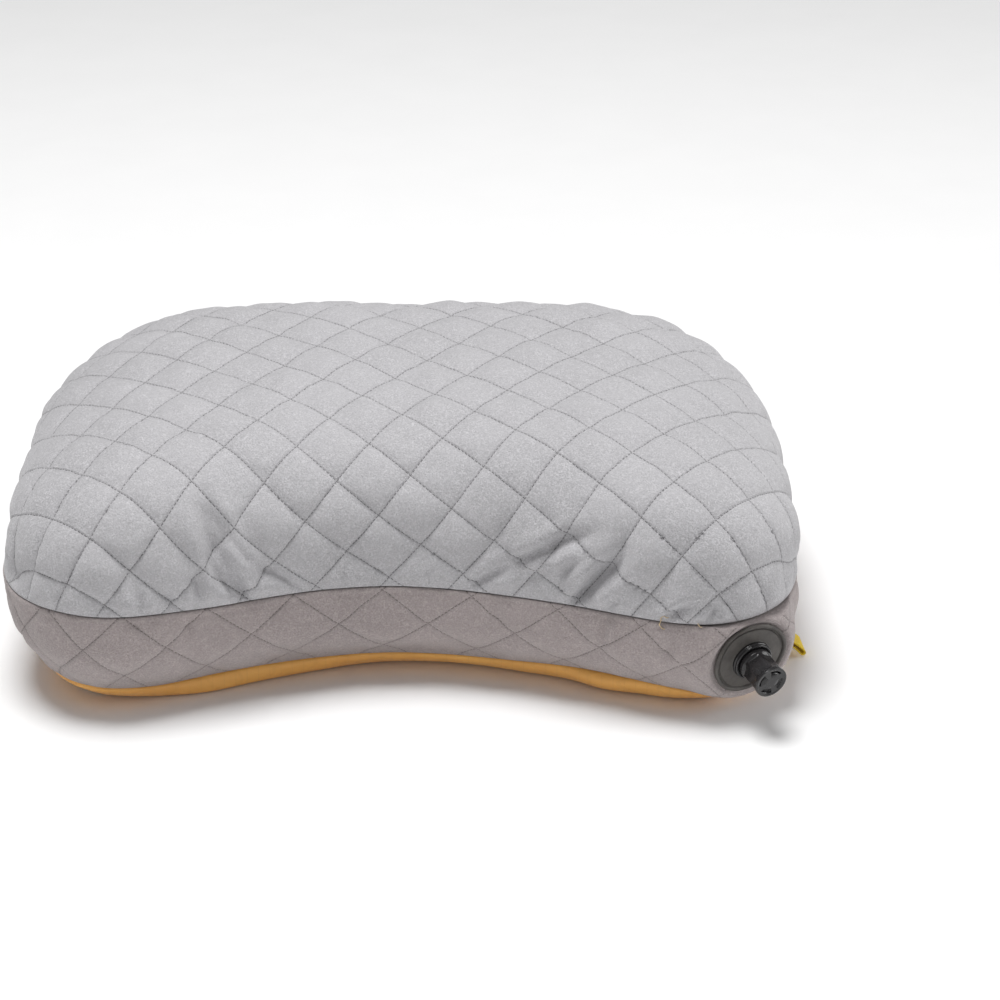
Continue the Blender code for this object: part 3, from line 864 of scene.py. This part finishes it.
def gusset_simulated():
    """More swell of the gusset by cloth simulation, held at both seams and along the stitch lines."""
    fine_t = gusset_grid(GUSSET_ROWS, AROUND)[1][::2, ::2]
    u = np.broadcast_to(np.arange(AROUND // 2) / (AROUND // 2), fine_t.shape)
    points = gusset_surface(u, fine_t)
    held = stitch_held(*gusset_lattice(u, fine_t), GUSSET_CELL)
    held[0] = held[-1] = 1.0
    normal = surface_normal(gusset_surface, u, fine_t)
    faces = band_faces(len(points), AROUND // 2)
    return simulated_swell("gusset_cloth", points, normal, faces, held, True)


def flattened_round_valve(points):
    """Lies the cloth flat under the valve's soft disc and lets it swell again round it."""
    away = points - np.array(VALVE_CENTRE)
    axis = np.array(VALVE_AXIS)
    lift = away @ axis
    radius = np.linalg.norm(away - lift[..., None] * axis, axis=-1)
    near = np.linalg.norm(away, axis=-1) < 0.06
    bed = -0.0004 + 0.0016 * smooth(BED_EDGE, 0.0215, radius)
    share = np.where(near, 1.0 - smooth(0.0195, 0.0340, radius), 0.0)
    return points + axis * ((bed - lift) * share)[..., None]


def gusset_skin(u, t, swell):
    """The gusset's outer skin, rolled in at both seams, with room for the tab and the valve's disc."""
    points = gusset_surface(u, t)
    normal = surface_normal(gusset_surface, u, t)
    _, outward = outline(u)
    low = GUSSET_WIDTH * t
    high = GUSSET_WIDTH * (1.0 - t)
    front = smooth(0.02, -0.03, points[..., 1])
    moved = swell + PUCKER_GAIN * puckers(points[..., 0], low, GUSSET_PUCKERS) * front
    moved += 0.0006 * rough(points, 0.040, 3)
    moved += 0.00025 * rough(points, 0.010, 4)
    moved *= smooth(-0.001, 0.005, np.minimum(low, high))
    moved += 0.00045 * np.exp(-((high - 0.0018) / 0.0010) ** 2)
    side = smooth(0.2, 0.8, outward[..., 0]) * smooth(0.03, -0.03, points[..., 1])
    moved += SIDE_SAG * side * np.exp(-((t - 0.26) / 0.20) ** 2)
    beside_tab = np.exp(-((points[..., 1] - TAB_PIVOT.y + TAB_SHIFT) / 0.010) ** 2) * side
    moved -= TAB_ROOM * beside_tab * np.exp(-((low / 0.008) ** 2))
    left = smooth(-0.3, -0.9, outward[..., 0])
    moved -= LEFT_TRIM * 0.6 * left * smooth(0.0, 0.3, t) * smooth(1.0, 0.8, t)
    points = points + normal * moved[..., None]
    tuck_in(points, outward, low)
    tuck_in(points, outward, high)
    points[..., 2] = np.clip(points[..., 2], LOWER_SEAM_Z + SEAM_GAP, SEAM_Z - SEAM_GAP)
    points[..., 2] += base_wave(u) * (1.0 - t) ** 2 + seam_wave(u) * t**2
    return flattened_round_valve(points)


def gusset_inside(u):
    """Rings from under the upper seam, down the inner skin, to above the lower seam."""
    edge, outward = outline(u)
    wave = base_wave(u)
    top_wave = seam_wave(u)
    rings = []

    def rim(inset, height):
        rings.append(np.concatenate([edge - outward * inset, height[:, None]], axis=1))

    for inset in (0.0016, 0.0034):
        rim(UPPER_SEAM_INSET + inset, SEAM_Z - TAPE_CLEAR + top_wave)
    for step in np.linspace(1.0, 0.0, INNER_RINGS):
        ring = gusset_surface(u, np.full(AROUND, 0.03 + 0.94 * step))
        ring -= surface_normal(gusset_surface, u, np.full(AROUND, step)) * GUSSET_DEPTH
        ring[:, 2] += wave * (1.0 - step) ** 2 + top_wave * step**2
        rings.append(ring)
    for inset in (0.0034, 0.0016):
        rim(LOWER_SEAM_INSET + inset, LOWER_SEAM_Z + TAPE_CLEAR + wave)
    return rings


def gusset_uvs(t, hidden):
    """Lattice numbers at the corners of the shown faces, and one place for all the hidden ones."""
    rising, falling = gusset_lattice(np.arange(AROUND + 1) / AROUND, t[:, :1])
    i, j = np.meshgrid(np.arange(GUSSET_ROWS), np.arange(AROUND), indexing="ij")
    corners = [(i, j), (i, j + 1), (i + 1, j + 1), (i + 1, j)]
    pairs = np.stack([np.stack([rising[a, b], falling[a, b]], axis=-1) for a, b in corners], axis=2)
    return pairs.reshape(-1, 2).tolist() + [BESIDE_LATTICE] * (4 * hidden)


def gusset_cover(mat, swell):
    """Quilted side band: a closed padded shell between the two seams, open for the valve's neck."""
    u, t = gusset_grid(GUSSET_ROWS, AROUND)
    rows = np.concatenate([gusset_skin(u, t, swell), gusset_inside(u[0])])
    faces = band_faces(len(rows), AROUND, closed=True)
    uvs = gusset_uvs(t, len(faces) - GUSSET_ROWS * AROUND)
    obj = mesh_object("gusset_cover", rows.reshape(-1, 3), faces.tolist(), mat, uvs)
    foot, top = -0.016, 0.012
    neck = revolve([(NECK_HOLE, foot), (NECK_HOLE, top)], 48)
    cut_with(obj, valve_body("cut_neck", neck, mat, (foot, top)))
    return obj


def base_cover(mat):
    """Nylon base: curls in from the lower seam, wrinkled, and lies flat on the ground."""
    u = np.arange(AROUND) / AROUND
    edge, outward = outline(u)
    wave = base_wave(u)
    rim = LOWER_SEAM_Z - SEAM_GAP + wave
    folds = BASE_FOLD[2] * np.exp(-((edge[:, 0] - BASE_FOLD[0]) / BASE_FOLD[1]) ** 2)
    folds *= smooth(0.0, -0.5, outward[:, 1])
    bulge = eased_table(edge[:, 0], BASE_BELLY) * smooth(0.3, -0.3, outward[:, 1])
    outer = []
    inner = []
    for angle in np.linspace(0.0, math.pi / 2, BASE_ROWS):
        curl = 1.0 - math.cos(angle)
        drop = math.sin(angle)
        roll = ROLL_IN * (1 - min(1.0, 9 * drop))
        belly = folds * math.sin(2 * angle) ** 0.5 + bulge * drop**1.5 - roll
        inset = LOWER_SEAM_INSET + BASE_CURL * curl
        flat = edge - outward * (inset - belly)[:, None]
        outer.append(np.concatenate([flat, (rim * (1.0 - drop))[:, None]], axis=1))
        flat = edge - outward * (inset + BASE_DEPTH * math.cos(angle) - belly)[:, None]
        height = rim * (1.0 - drop) + BASE_DEPTH * drop
        inner.append(np.concatenate([flat, height[:, None]], axis=1))
    centre = np.array((*CROWN_CENTRE, 0.0))
    for share in np.linspace(0.85, 0.0, GROUND_RINGS + 1)[:-1]:
        ring = centre + (outer[BASE_ROWS - 1] - centre) * share
        outer.append(ring)
        inner.append(ring + (0.0, 0.0, BASE_DEPTH))
    rows = np.array(outer[::-1] + inner)
    first = rows.reshape(-1, 3)
    faces = band_faces(len(rows), AROUND).tolist() + lid_faces(len(first), AROUND, len(rows))
    vertices = np.concatenate([first, [centre, centre + (0, 0, BASE_DEPTH)]])
    return recalculated(mesh_object("base_cover", vertices, faces, mat))


# ---------------------------------------------------------------- valve and tab
def valve_disc(mat):
    """Soft flange: a slightly wavy disc with a rim bead and a ring groove, and its neck."""
    corners = [
        (0.0063, 0.0018), (0.0098, 0.0018), (0.0101, 0.0015), (0.0158, 0.0015), (0.0161, 0.0009),
        (0.0166, 0.0009), (0.0169, 0.0017), (0.0174, 0.0021), (0.0183, 0.0021), (DISC_EDGE, 0.0012),
        (0.0184, 0.0005), (0.0085, 0.0005), (0.0085, -0.0085), (0.0063, -0.0085),
    ]
    section = filleted(corners, 0.0003)
    sides = 160
    rows = revolve(section, sides)
    angle = np.arange(sides) * 2.0 * math.pi / sides
    radius = np.linalg.norm(rows[..., :2], axis=-1)
    soft = smooth(0.0100, DISC_EDGE, radius)
    wave = 0.00035 * np.sin(2 * angle + 0.6) + 0.00022 * np.sin(5 * angle) - 0.0005
    rows[..., 2] += wave * soft
    rows[..., :2] *= (1.0 + 0.006 * np.sin(3 * angle + 1.0) * soft)[..., None]
    return valve_body("valve_disc", rows, mat)


def valve_collar(mat):
    """Hard collar with its lip, the spigot under it and the stem that the nozzle turns on."""
    corners = [
        (0.0024, -0.0075), (0.0060, -0.0075), (0.0060, 0.0019), (0.0098, 0.0019), (0.0098, 0.0030),
        (0.0094, 0.0034), (0.0094, 0.0043), (0.0088, 0.0047), (0.0083, 0.0041), (0.0045, 0.0041),
        (0.0045, 0.0170), (0.0024, 0.0170),
    ]
    return valve_body("valve_collar", revolve(filleted(corners, 0.0003), 96), mat)


def nozzle_radius(radius, height, angle):
    """Six grip flats round the barrel, fading out towards its foot and its end ring."""
    step = math.pi / 3
    off = np.mod(angle + step / 2, step) - step / 2
    flat = np.minimum(radius, NOZZLE_FLAT / np.cos(off))
    share = smooth(0.0074, 0.0082, height) * smooth(0.0184, 0.0176, height)
    outside = radius > SLOT_OUTSIDE
    return radius * (1 - share) + flat * share if outside else np.full_like(angle, radius)


def valve_nozzle(mat):
    """Twist nozzle: barrel with grip flats, end ring and four curved slots round its end disc."""
    top = NOZZLE_TOP
    corners = [
        (0.0058, 0.0182), (0.0058, 0.0050), (0.0080, 0.0050), (0.0080, 0.0070), (0.0075, 0.0074),
        (0.0075, 0.0082), (0.0075, 0.0130), (0.0075, 0.0174), (0.0079, 0.0182), (0.0079, top),
        (0.0070, top), (0.0068, top - 0.0002), (0.0020, top - 0.0002),
    ]
    steps = 4
    path = filleted(corners, 0.00028, steps)[: -steps - 1] + [corners[-1]]
    rows = revolve(path, 192, nozzle_radius)
    obj = valve_body("nozzle_shell", rows, mat, (0.0182, top - 0.0002))
    for i in range(4):
        cut_with(obj, slot_cutter(f"cut_slot_{i}", math.radians(-20 + 90 * i), math.radians(29), mat))
    return obj


def slot_cutter(name, middle, half, mat):
    """A curved bar that cuts one slot, from angle middle - half to middle + half."""
    angles = np.linspace(middle - half, middle + half, 12)
    ring = [(SLOT_INSIDE * math.cos(a), SLOT_INSIDE * math.sin(a)) for a in angles]
    ring += [(SLOT_OUTSIDE * math.cos(a), SLOT_OUTSIDE * math.sin(a)) for a in angles[::-1]]
    count = len(ring)
    vertices = [(x, y, z) for z in (SLOT_FOOT, NOZZLE_TOP + 0.0010) for x, y in ring]
    faces = [tuple(range(count))[::-1], tuple(range(count, 2 * count))]
    faces += [(j, (j + 1) % count, count + (j + 1) % count, count + j) for j in range(count)]
    cutter = recalculated(mesh_object(name, vertices, faces, mat))
    cutter.data.transform(valve_matrix())
    return cutter


def tab_centre_line(run):
    """The webbing's middle line: how far out and how far down it is at each run from the seam."""
    fine = np.linspace(0.0, TAB_LENGTH * 1.2, 241)
    slope = np.radians(4.0 + 42.0 * smooth(0.25 * TAB_LENGTH, TAB_LENGTH, fine))
    step = fine[1] - fine[0]
    out = np.concatenate([[0.0], np.cumsum(np.cos(slope[:-1]) * step)])
    down = np.concatenate([[0.0], np.cumsum(np.sin(slope[:-1]) * step)])
    return np.interp(run, fine, out), np.interp(run, fine, down), np.interp(run, fine, slope)


def tab_path():
    """The folded webbing's middle, as (run, rise): out along the top, round the loop and back."""
    turn_r = TAB_LOOP + TAB_WEB / 2
    start_rise = 0.0005
    end = TAB_LENGTH - TAB_LOOP - TAB_WEB
    there = []
    for run in np.linspace(0.0008, end, 26):
        there.append((run, start_rise + (turn_r - start_rise) * float(smooth(0.006, end, run))))
    loop = []
    for k in range(1, 12):
        turn = math.pi / 2 - math.pi * k / 12
        loop.append((end + turn_r * math.cos(turn), turn_r * math.sin(turn)))
    back = [(run, -rise) for run, rise in there[::-1]]
    return np.array(there + loop + back)


def strip_faces(rows, columns):
    """Quads round a strip that has two skins of rows times columns vertices."""
    count = rows * columns
    faces = []
    for i in range(rows - 1):
        for j in range(columns - 1):
            a = i * columns + j
            faces.append((a, a + 1, a + columns + 1, a + columns))
            faces.append((count + a, count + a + columns, count + a + columns + 1, count + a + 1))
        for j in (0, columns - 1):
            a = i * columns + j
            faces.append((a, a + columns, count + a + columns, count + a))
    for i in (0, rows - 1):
        for j in range(columns - 1):
            a = i * columns + j
            faces.append((a, a + 1, count + a + 1, count + a))
    return faces


def pull_tab(mat):
    """Folded webbing: two layers from the seam and a soft loop at the end, with thick selvedges."""
    out = np.array((-TAB_ACROSS.y, TAB_ACROSS.x, 0.0))
    points = tab_path()
    tangent = np.gradient(points, axis=0)
    tangent /= np.linalg.norm(tangent, axis=1)[:, None]
    side = np.stack([-tangent[:, 1], tangent[:, 0]], axis=-1)
    across = np.linspace(-1.0, 1.0, 25)
    thick = TAB_WEB / 2 * (0.82 + 0.22 * smooth(0.86, 0.97, np.abs(across)))
    vertices = []
    for sign in (1.0, -1.0):
        flat = points[:, None, :] + sign * side[:, None, :] * thick[None, :, None]
        run = flat[..., 0] * (1.0 + TAB_SKEW * across)
        ahead, down, slope = tab_centre_line(run)
        ahead = ahead + flat[..., 1] * np.sin(slope)
        height = flat[..., 1] * np.cos(slope) - down
        sideways = np.broadcast_to(across * TAB_WIDTH / 2 + TAB_SHIFT, run.shape)
        place = np.array(TAB_PIVOT) + ahead[..., None] * out
        place = place + sideways[..., None] * np.array(TAB_ACROSS)
        place[..., 2] += height
        vertices.append(place.reshape(-1, 3))
    faces = strip_faces(len(points), len(across))
    return recalculated(mesh_object("pull_tab", np.concatenate(vertices), faces, mat))


def strand_rings(line):
    """Vertices round a thin thread that follows the line."""
    vertices = []
    for i, point in enumerate(line):
        along = line[min(i + 1, STRAND_POINTS - 1)] - line[max(i - 1, 0)]
        along /= np.linalg.norm(along)
        side = np.cross(along, (0.0, 1.0, 0.0))
        side /= np.linalg.norm(side)
        rise = np.cross(along, side)
        for k in range(STRAND_SIDES):
            turn = 2.0 * math.pi * k / STRAND_SIDES
            vertices.append(point + STRAND_RADIUS * (side * math.cos(turn) + rise * math.sin(turn)))
    return vertices


def thread_ends(mat):
    """Short loose ends of pale thread left in the upper seam on the valve side."""
    edge, _ = outline(np.linspace(0.0, 0.25, 400))
    vertices = []
    faces = []
    for strand in LOOSE_ENDS:
        points = np.array(strand)
        fine = np.linspace(0, len(points) - 1, STRAND_POINTS)
        x = np.interp(fine, np.arange(len(points)), points[:, 0])
        z = np.interp(fine, np.arange(len(points)), points[:, 1])
        y = np.interp(x, edge[:, 0], edge[:, 1])
        start = len(vertices)
        end = start + STRAND_SIDES * (STRAND_POINTS - 1)
        vertices += strand_rings(np.stack([x, y + UPPER_SEAM_INSET - 0.0012, SEAM_Z + z], axis=-1))
        faces += band_faces(STRAND_POINTS, STRAND_SIDES, start).tolist()
        faces.append(tuple(start + k for k in range(STRAND_SIDES))[::-1])
        faces.append(tuple(end + k for k in range(STRAND_SIDES)))
    return recalculated(mesh_object("loose_thread", vertices, faces, mat))


# ---------------------------------------------------------------- materials
class Graph:
    """Builds one material's nodes with short calls. Sockets and plain numbers both work as inputs."""

    def __init__(self, name, roughness):
        self.material = bpy.data.materials.new(name)
        self.material.use_nodes = True
        self.tree = self.material.node_tree
        self.shader = self.tree.nodes["Principled BSDF"]
        self.shader.inputs["Roughness"].default_value = roughness
        self.place = self.add("ShaderNodeTexCoord").outputs["Object"]

    def add(self, kind, **settings):
        node = self.tree.nodes.new(kind)
        for key, value in settings.items():
            setattr(node, key, value)
        return node

    def put(self, socket, value):
        if isinstance(value, bpy.types.NodeSocket):
            self.tree.links.new(value, socket)
        else:
            socket.default_value = value

    def math(self, operation, *values):
        node = self.add("ShaderNodeMath", operation=operation)
        for socket, value in zip(node.inputs, values):
            self.put(socket, value)
        return node.outputs[0]

    def step(self, value, low, high, to_low=0.0, to_high=1.0):
        """Eases from to_low to to_high as value goes from low to high."""
        node = self.add("ShaderNodeMapRange", interpolation_type="SMOOTHSTEP")
        for name, number in (("Value", value), ("From Min", low), ("From Max", high),
                             ("To Min", to_low), ("To Max", to_high)):
            self.put(node.inputs[name], number)
        return node.outputs[0]

    def noise(self, size, detail=2.0, roughness=0.5, stretch=None):
        """Noise with features of the given size in metres, drawn out by stretch."""
        node = self.add("ShaderNodeTexNoise")
        node.inputs["Scale"].default_value = 1.0 / size
        node.inputs["Detail"].default_value = detail
        node.inputs["Roughness"].default_value = roughness
        vector = self.place
        if stretch is not None:
            scaled = self.add("ShaderNodeMapping")
            scaled.inputs["Scale"].default_value = stretch
            self.put(scaled.inputs["Vector"], vector)
            vector = scaled.outputs[0]
        self.put(node.inputs["Vector"], vector)
        return node.outputs[0]

    def mix(self, share, first, second):
        node = self.add("ShaderNodeMix", data_type="RGBA")
        self.put(node.inputs["Factor"], share)
        self.put(node.inputs["A"], first)
        self.put(node.inputs["B"], second)
        return node.outputs["Result"]

    def colour_of(self, value, low, first, high, second):
        """Runs from the first colour at low to the second at high."""
        node = self.add("ShaderNodeValToRGB")
        node.color_ramp.elements[0].position = low
        node.color_ramp.elements[0].color = first
        node.color_ramp.elements[1].position = high
        node.color_ramp.elements[1].color = second
        self.put(node.inputs[0], value)
        return node.outputs[0]

    def bump(self, height, distance, before=None):
        node = self.add("ShaderNodeBump")
        node.inputs["Distance"].default_value = distance
        self.put(node.inputs["Height"], height)
        if before is not None:
            self.put(node.inputs["Normal"], before)
        return node.outputs[0]

    def x_and_y(self, vector):
        parts = self.add("ShaderNodeSeparateXYZ")
        self.put(parts.inputs[0], vector)
        return parts.outputs[0], parts.outputs[1]

    def lattice(self):
        return self.x_and_y(self.add("ShaderNodeUVMap", uv_map="lattice").outputs[0])

    def done(self, colour=None, roughness=None, normal=None):
        for name, value in (("Base Color", colour), ("Roughness", roughness), ("Normal", normal)):
            if value is not None:
                self.put(self.shader.inputs[name], value)
        return self.material


def shade(colour, factor):
    return tuple(min(1.0, c * factor) for c in colour[:3]) + (1.0,)


def quilted_fabric(name, colour, cell, thread):
    """Brushed microfibre, dashed stitch lines along the whole numbers of the lattice map, painted shade
    beside them.
    """
    g = Graph(name, 0.92)
    fibre = g.noise(0.00075, 3.0, 0.65)
    heather = g.noise(0.0019, 3.0, 0.70)
    nap = g.noise(0.0060, 4.0, 0.6)
    drift = g.noise(0.060, 2.0)
    base = g.colour_of(fibre, 0.34, shade(colour, 0.70), 0.66, shade(colour, 1.30))
    base = g.mix(g.step(heather, 0.42, 0.60, 0.0, 0.50), base, shade(colour, 0.80))
    base = g.mix(g.step(nap, 0.35, 0.68, 0.0, 0.30), base, shade(colour, 0.86))
    base = g.mix(g.step(drift, 0.35, 0.65, 0.0, 0.22), base, shade(colour, 1.12))
    across, along = g.lattice()
    wobble = g.math("MULTIPLY_ADD", g.noise(0.012, 1.0), 0.020, -0.010)
    threads = []
    grooves_for_bump_and_painted_shade = []
    for value, other in ((across, along), (along, across)):
        bent = g.math("ADD", value, wobble)
        off = g.math("ABSOLUTE", g.math("SUBTRACT", bent, g.math("ROUND", bent)))
        off = g.math("MULTIPLY", off, cell)
        dash = g.math("FRACT", g.math("MULTIPLY", other, cell / STITCH_PITCH))
        dash = g.math("LESS_THAN", dash, STITCH_SHARE)
        line = g.step(off, STITCH_HALF_WIDTH * 0.5, STITCH_HALF_WIDTH * 1.3, 1.0, 0.0)
        threads.append(g.math("MULTIPLY", line, dash))
        grooves_for_bump_and_painted_shade.append(g.step(off, 0.0, 0.0009, 1.0, 0.0))
    stitch = g.math("MAXIMUM", *threads)
    valley = g.math("MAXIMUM", *grooves_for_bump_and_painted_shade)
    # painted shade: the colour is darkened a little near every stitch line, where shade falls in its
    # groove; the same groove mask also sinks the bump below
    base = g.mix(g.math("MULTIPLY", valley, 0.10), base, shade(colour, 0.55))
    base = g.mix(g.math("MULTIPLY", stitch, 0.72), base, thread)
    fuzz = g.bump(fibre, 0.00035)
    soft = g.bump(nap, 0.0006, fuzz)
    sunk = g.bump(g.math("MULTIPLY", valley, -1.0), 0.0003, soft)
    raised = g.bump(stitch, 0.00025, sunk)
    g.shader.inputs["Sheen Weight"].default_value = 0.25
    g.shader.inputs["Sheen Roughness"].default_value = 0.55
    g.shader.inputs["Specular IOR Level"].default_value = 0.15
    rough = g.step(fibre, 0.3, 0.7, 0.86, 0.97)
    return g.done(base, rough, raised)


def nylon(name, colour):
    """Fine ripstop nylon: a plain weave with a faint grid of thicker yarns, and satin sheen."""
    g = Graph(name, 0.42)
    weave = []
    ribs = []
    for place in g.x_and_y(g.place):
        wave = g.math("SINE", g.math("MULTIPLY", place, 2 * math.pi / YARN_PITCH))
        weave.append(wave)
        grid = g.math("FRACT", g.math("MULTIPLY", place, 1.0 / RIPSTOP_PITCH))
        ribs.append(g.math("LESS_THAN", grid, 0.10))
    cloth = g.math("MULTIPLY", *weave)
    rib = g.math("MAXIMUM", *ribs)
    drift = g.noise(0.030, 3.0, 0.55)
    base = g.colour_of(drift, 0.3, shade(colour, 0.90), 0.7, shade(colour, 1.06))
    base = g.mix(g.math("MULTIPLY", rib, 0.12), base, shade(colour, 0.72))
    crinkle = g.bump(g.noise(0.009, 3.0, 0.55), 0.0010)
    fine = g.bump(g.math("MULTIPLY_ADD", cloth, 0.5, rib), 0.00006, crinkle)
    g.shader.inputs["Sheen Weight"].default_value = 0.12
    g.shader.inputs["Specular IOR Level"].default_value = 0.4
    return g.done(base, g.step(drift, 0.3, 0.7, 0.36, 0.50), fine)


def woven_tape(name, colour, pitch):
    """Narrow woven tape or webbing: ribs along and across, with slightly uneven yarn."""
    g = Graph(name, 0.72)
    turns = [g.math("MULTIPLY", place, 2 * math.pi / pitch) for place in g.x_and_y(g.place)]
    weave = g.math("MULTIPLY", *[g.math("SINE", turn) for turn in turns])
    yarn = g.noise(0.0008, 3.0, 0.6)
    base = g.colour_of(yarn, 0.3, shade(colour, 0.78), 0.7, shade(colour, 1.12))
    base = g.mix(g.step(weave, -1.0, 0.6, 0.35, 0.0), base, shade(colour, 0.55))
    normal = g.bump(g.math("MULTIPLY_ADD", weave, 0.5, yarn), 0.00022)
    g.shader.inputs["Sheen Weight"].default_value = 0.15
    return g.done(base, g.step(yarn, 0.3, 0.7, 0.62, 0.82), normal)


def moulded(name, colour, low, high, grain, depth):
    """Moulded plastic or rubber: slight colour drift, handling marks in the gloss and a fine grain."""
    g = Graph(name, low)
    drift = g.noise(0.0060, 3.0, 0.6)
    marks = g.noise(0.0022, 4.0, 0.7, (1.0, 3.0, 1.0))
    base = g.colour_of(drift, 0.3, shade(colour, 0.8), 0.7, shade(colour, 1.35))
    rough = g.step(marks, 0.35, 0.70, low, high)
    return g.done(base, rough, g.bump(g.noise(grain, 2.0), depth))


def film(name, colour):
    """Coated air-core film: satin, with the faint crease pattern of folded film."""
    g = Graph(name, 0.35)
    crease = g.noise(0.014, 4.0, 0.65)
    base = g.colour_of(crease, 0.3, shade(colour, 0.85), 0.7, shade(colour, 1.08))
    return g.done(base, g.step(crease, 0.3, 0.7, 0.28, 0.45), g.bump(crease, 0.0008))


# ---------------------------------------------------------------- stage
def aimed(name, data, place, target):
    """A lamp or camera that stands at place and looks at target."""
    obj = bpy.data.objects.new(name, data)
    obj.location = place
    obj.rotation_mode = "QUATERNION"
    obj.rotation_quaternion = (Vector(target) - Vector(place)).to_track_quat("-Z", "Y")
    bpy.context.scene.collection.objects.link(obj)
    return obj


def floor_paint():
    g = Graph("floor_paint", 0.9)
    grain = g.noise(0.05, 3.0)
    g.shader.inputs["Specular IOR Level"].default_value = 0.1
    return g.done(g.colour_of(grain, 0.2, (0.95, 0.95, 0.95, 1), 0.8, (0.97, 0.97, 0.97, 1)))


def stage():
    """Pale floor, even white surroundings, a soft key light overhead, and low fills right and in front."""
    half = FLOOR_HALF
    corners = [(-half, -half, 0), (half, -half, 0), (half, half, 0), (-half, half, 0)]
    floor = mesh_object("floor", corners, [(0, 1, 2, 3)])
    floor.location.z = -FLOOR_DROP
    floor.data.materials.append(floor_paint())
    world = bpy.data.worlds.new("studio")
    world.use_nodes = True
    world.node_tree.nodes["Background"].inputs[0].default_value = (1.0, 1.0, 1.0, 1.0)
    world.node_tree.nodes["Background"].inputs[1].default_value = WORLD_STRENGTH
    bpy.context.scene.world = world
    for name, place, size, power in LIGHTS:
        data = bpy.data.lights.new(name, "AREA")
        data.shape = "DISK"
        data.size = size
        data.energy = power
        aimed(name, data, place, LIGHT_AIM)
    bpy.context.scene.view_settings.view_transform = "Standard"
    bpy.context.scene.view_settings.look = "None"


def camera():
    """The photograph's viewpoint."""
    data = bpy.data.cameras.new("camera")
    data.lens = CAMERA_LENS
    data.sensor_width = CAMERA_SENSOR
    data.clip_start = 0.05
    data.clip_end = 20.0
    bpy.context.scene.camera = aimed("camera", data, CAMERA_PLACE, CAMERA_AIM)


# ---------------------------------------------------------------- the model
def fit(piece, body, replaced):
    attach(piece, body)
    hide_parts(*replaced)
    return piece


def main():
    grey = quilted_fabric("brushed_top", CROWN_COLOUR, CROWN_CELL, THREAD)
    warm = quilted_fabric("brushed_gusset", GUSSET_COLOUR, GUSSET_CELL, GUSSET_THREAD)
    orange = nylon("base_ripstop", ORANGE)
    black = moulded("valve_hard", VALVE_BLACK, 0.13, 0.26, 0.0024, 0.00002)
    soft = moulded("valve_soft", FLANGE_GREY, 0.46, 0.62, 0.0007, 0.00008)
    rubber = moulded("seal_soft", VALVE_BLACK, 0.5, 0.7, 0.0006, 0.00005)
    yellow = woven_tape("tab_web", YELLOW, 0.0011)
    tape = woven_tape("binding_tape", TAPE_GREY, 0.0009)
    bladder = film("core_film", FILM_GREY)
    tan = woven_tape("loose_yarn", THREAD_TAN, 0.0005)

    crown_swell = crown_puff() - CROWN_EASE
    gusset_swell = gusset_puff() - GUSSET_EASE
    crown_swell += CLOTH_GAIN * crown_simulated()
    gusset_swell += CLOTH_GAIN * gusset_simulated()

    crown = crown_cover(grey, crown_swell)
    fit(crown, "cover", ["top_face_fabric", "top_down_fill", "top_lining"])
    core = fit(core_film(bladder), "cover", ["air_core_upper_film"])
    for piece in (crown, core):
        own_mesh(piece)
    gusset = gusset_cover(warm, gusset_swell)
    layers = ["gusset_face_fabric", "gusset_batting", "gusset_lining"]
    fit(gusset, "cover", layers)
    fit(base_cover(orange), "cover", ["base_panel"])
    fit(valve_disc(soft), "cover", ["valve_flange"])
    fit(valve_collar(black), "cover", ["valve_stem"])
    fit(valve_nozzle(black), "nozzle", ["valve_nozzle"])
    fit(pull_tab(yellow), "tab", ["tab_loop"])
    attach(thread_ends(tan), "cover")
    kept = {"upper_seam_binding": tape, "lower_seam_binding": tape, "air_core_lower_film": bladder,
            "valve_o_ring": rubber}
    for node, mat in kept.items():
        data = frame["nodes"][node].data
        data.materials.clear()
        data.materials.append(mat)
    stage()
    camera()


main()
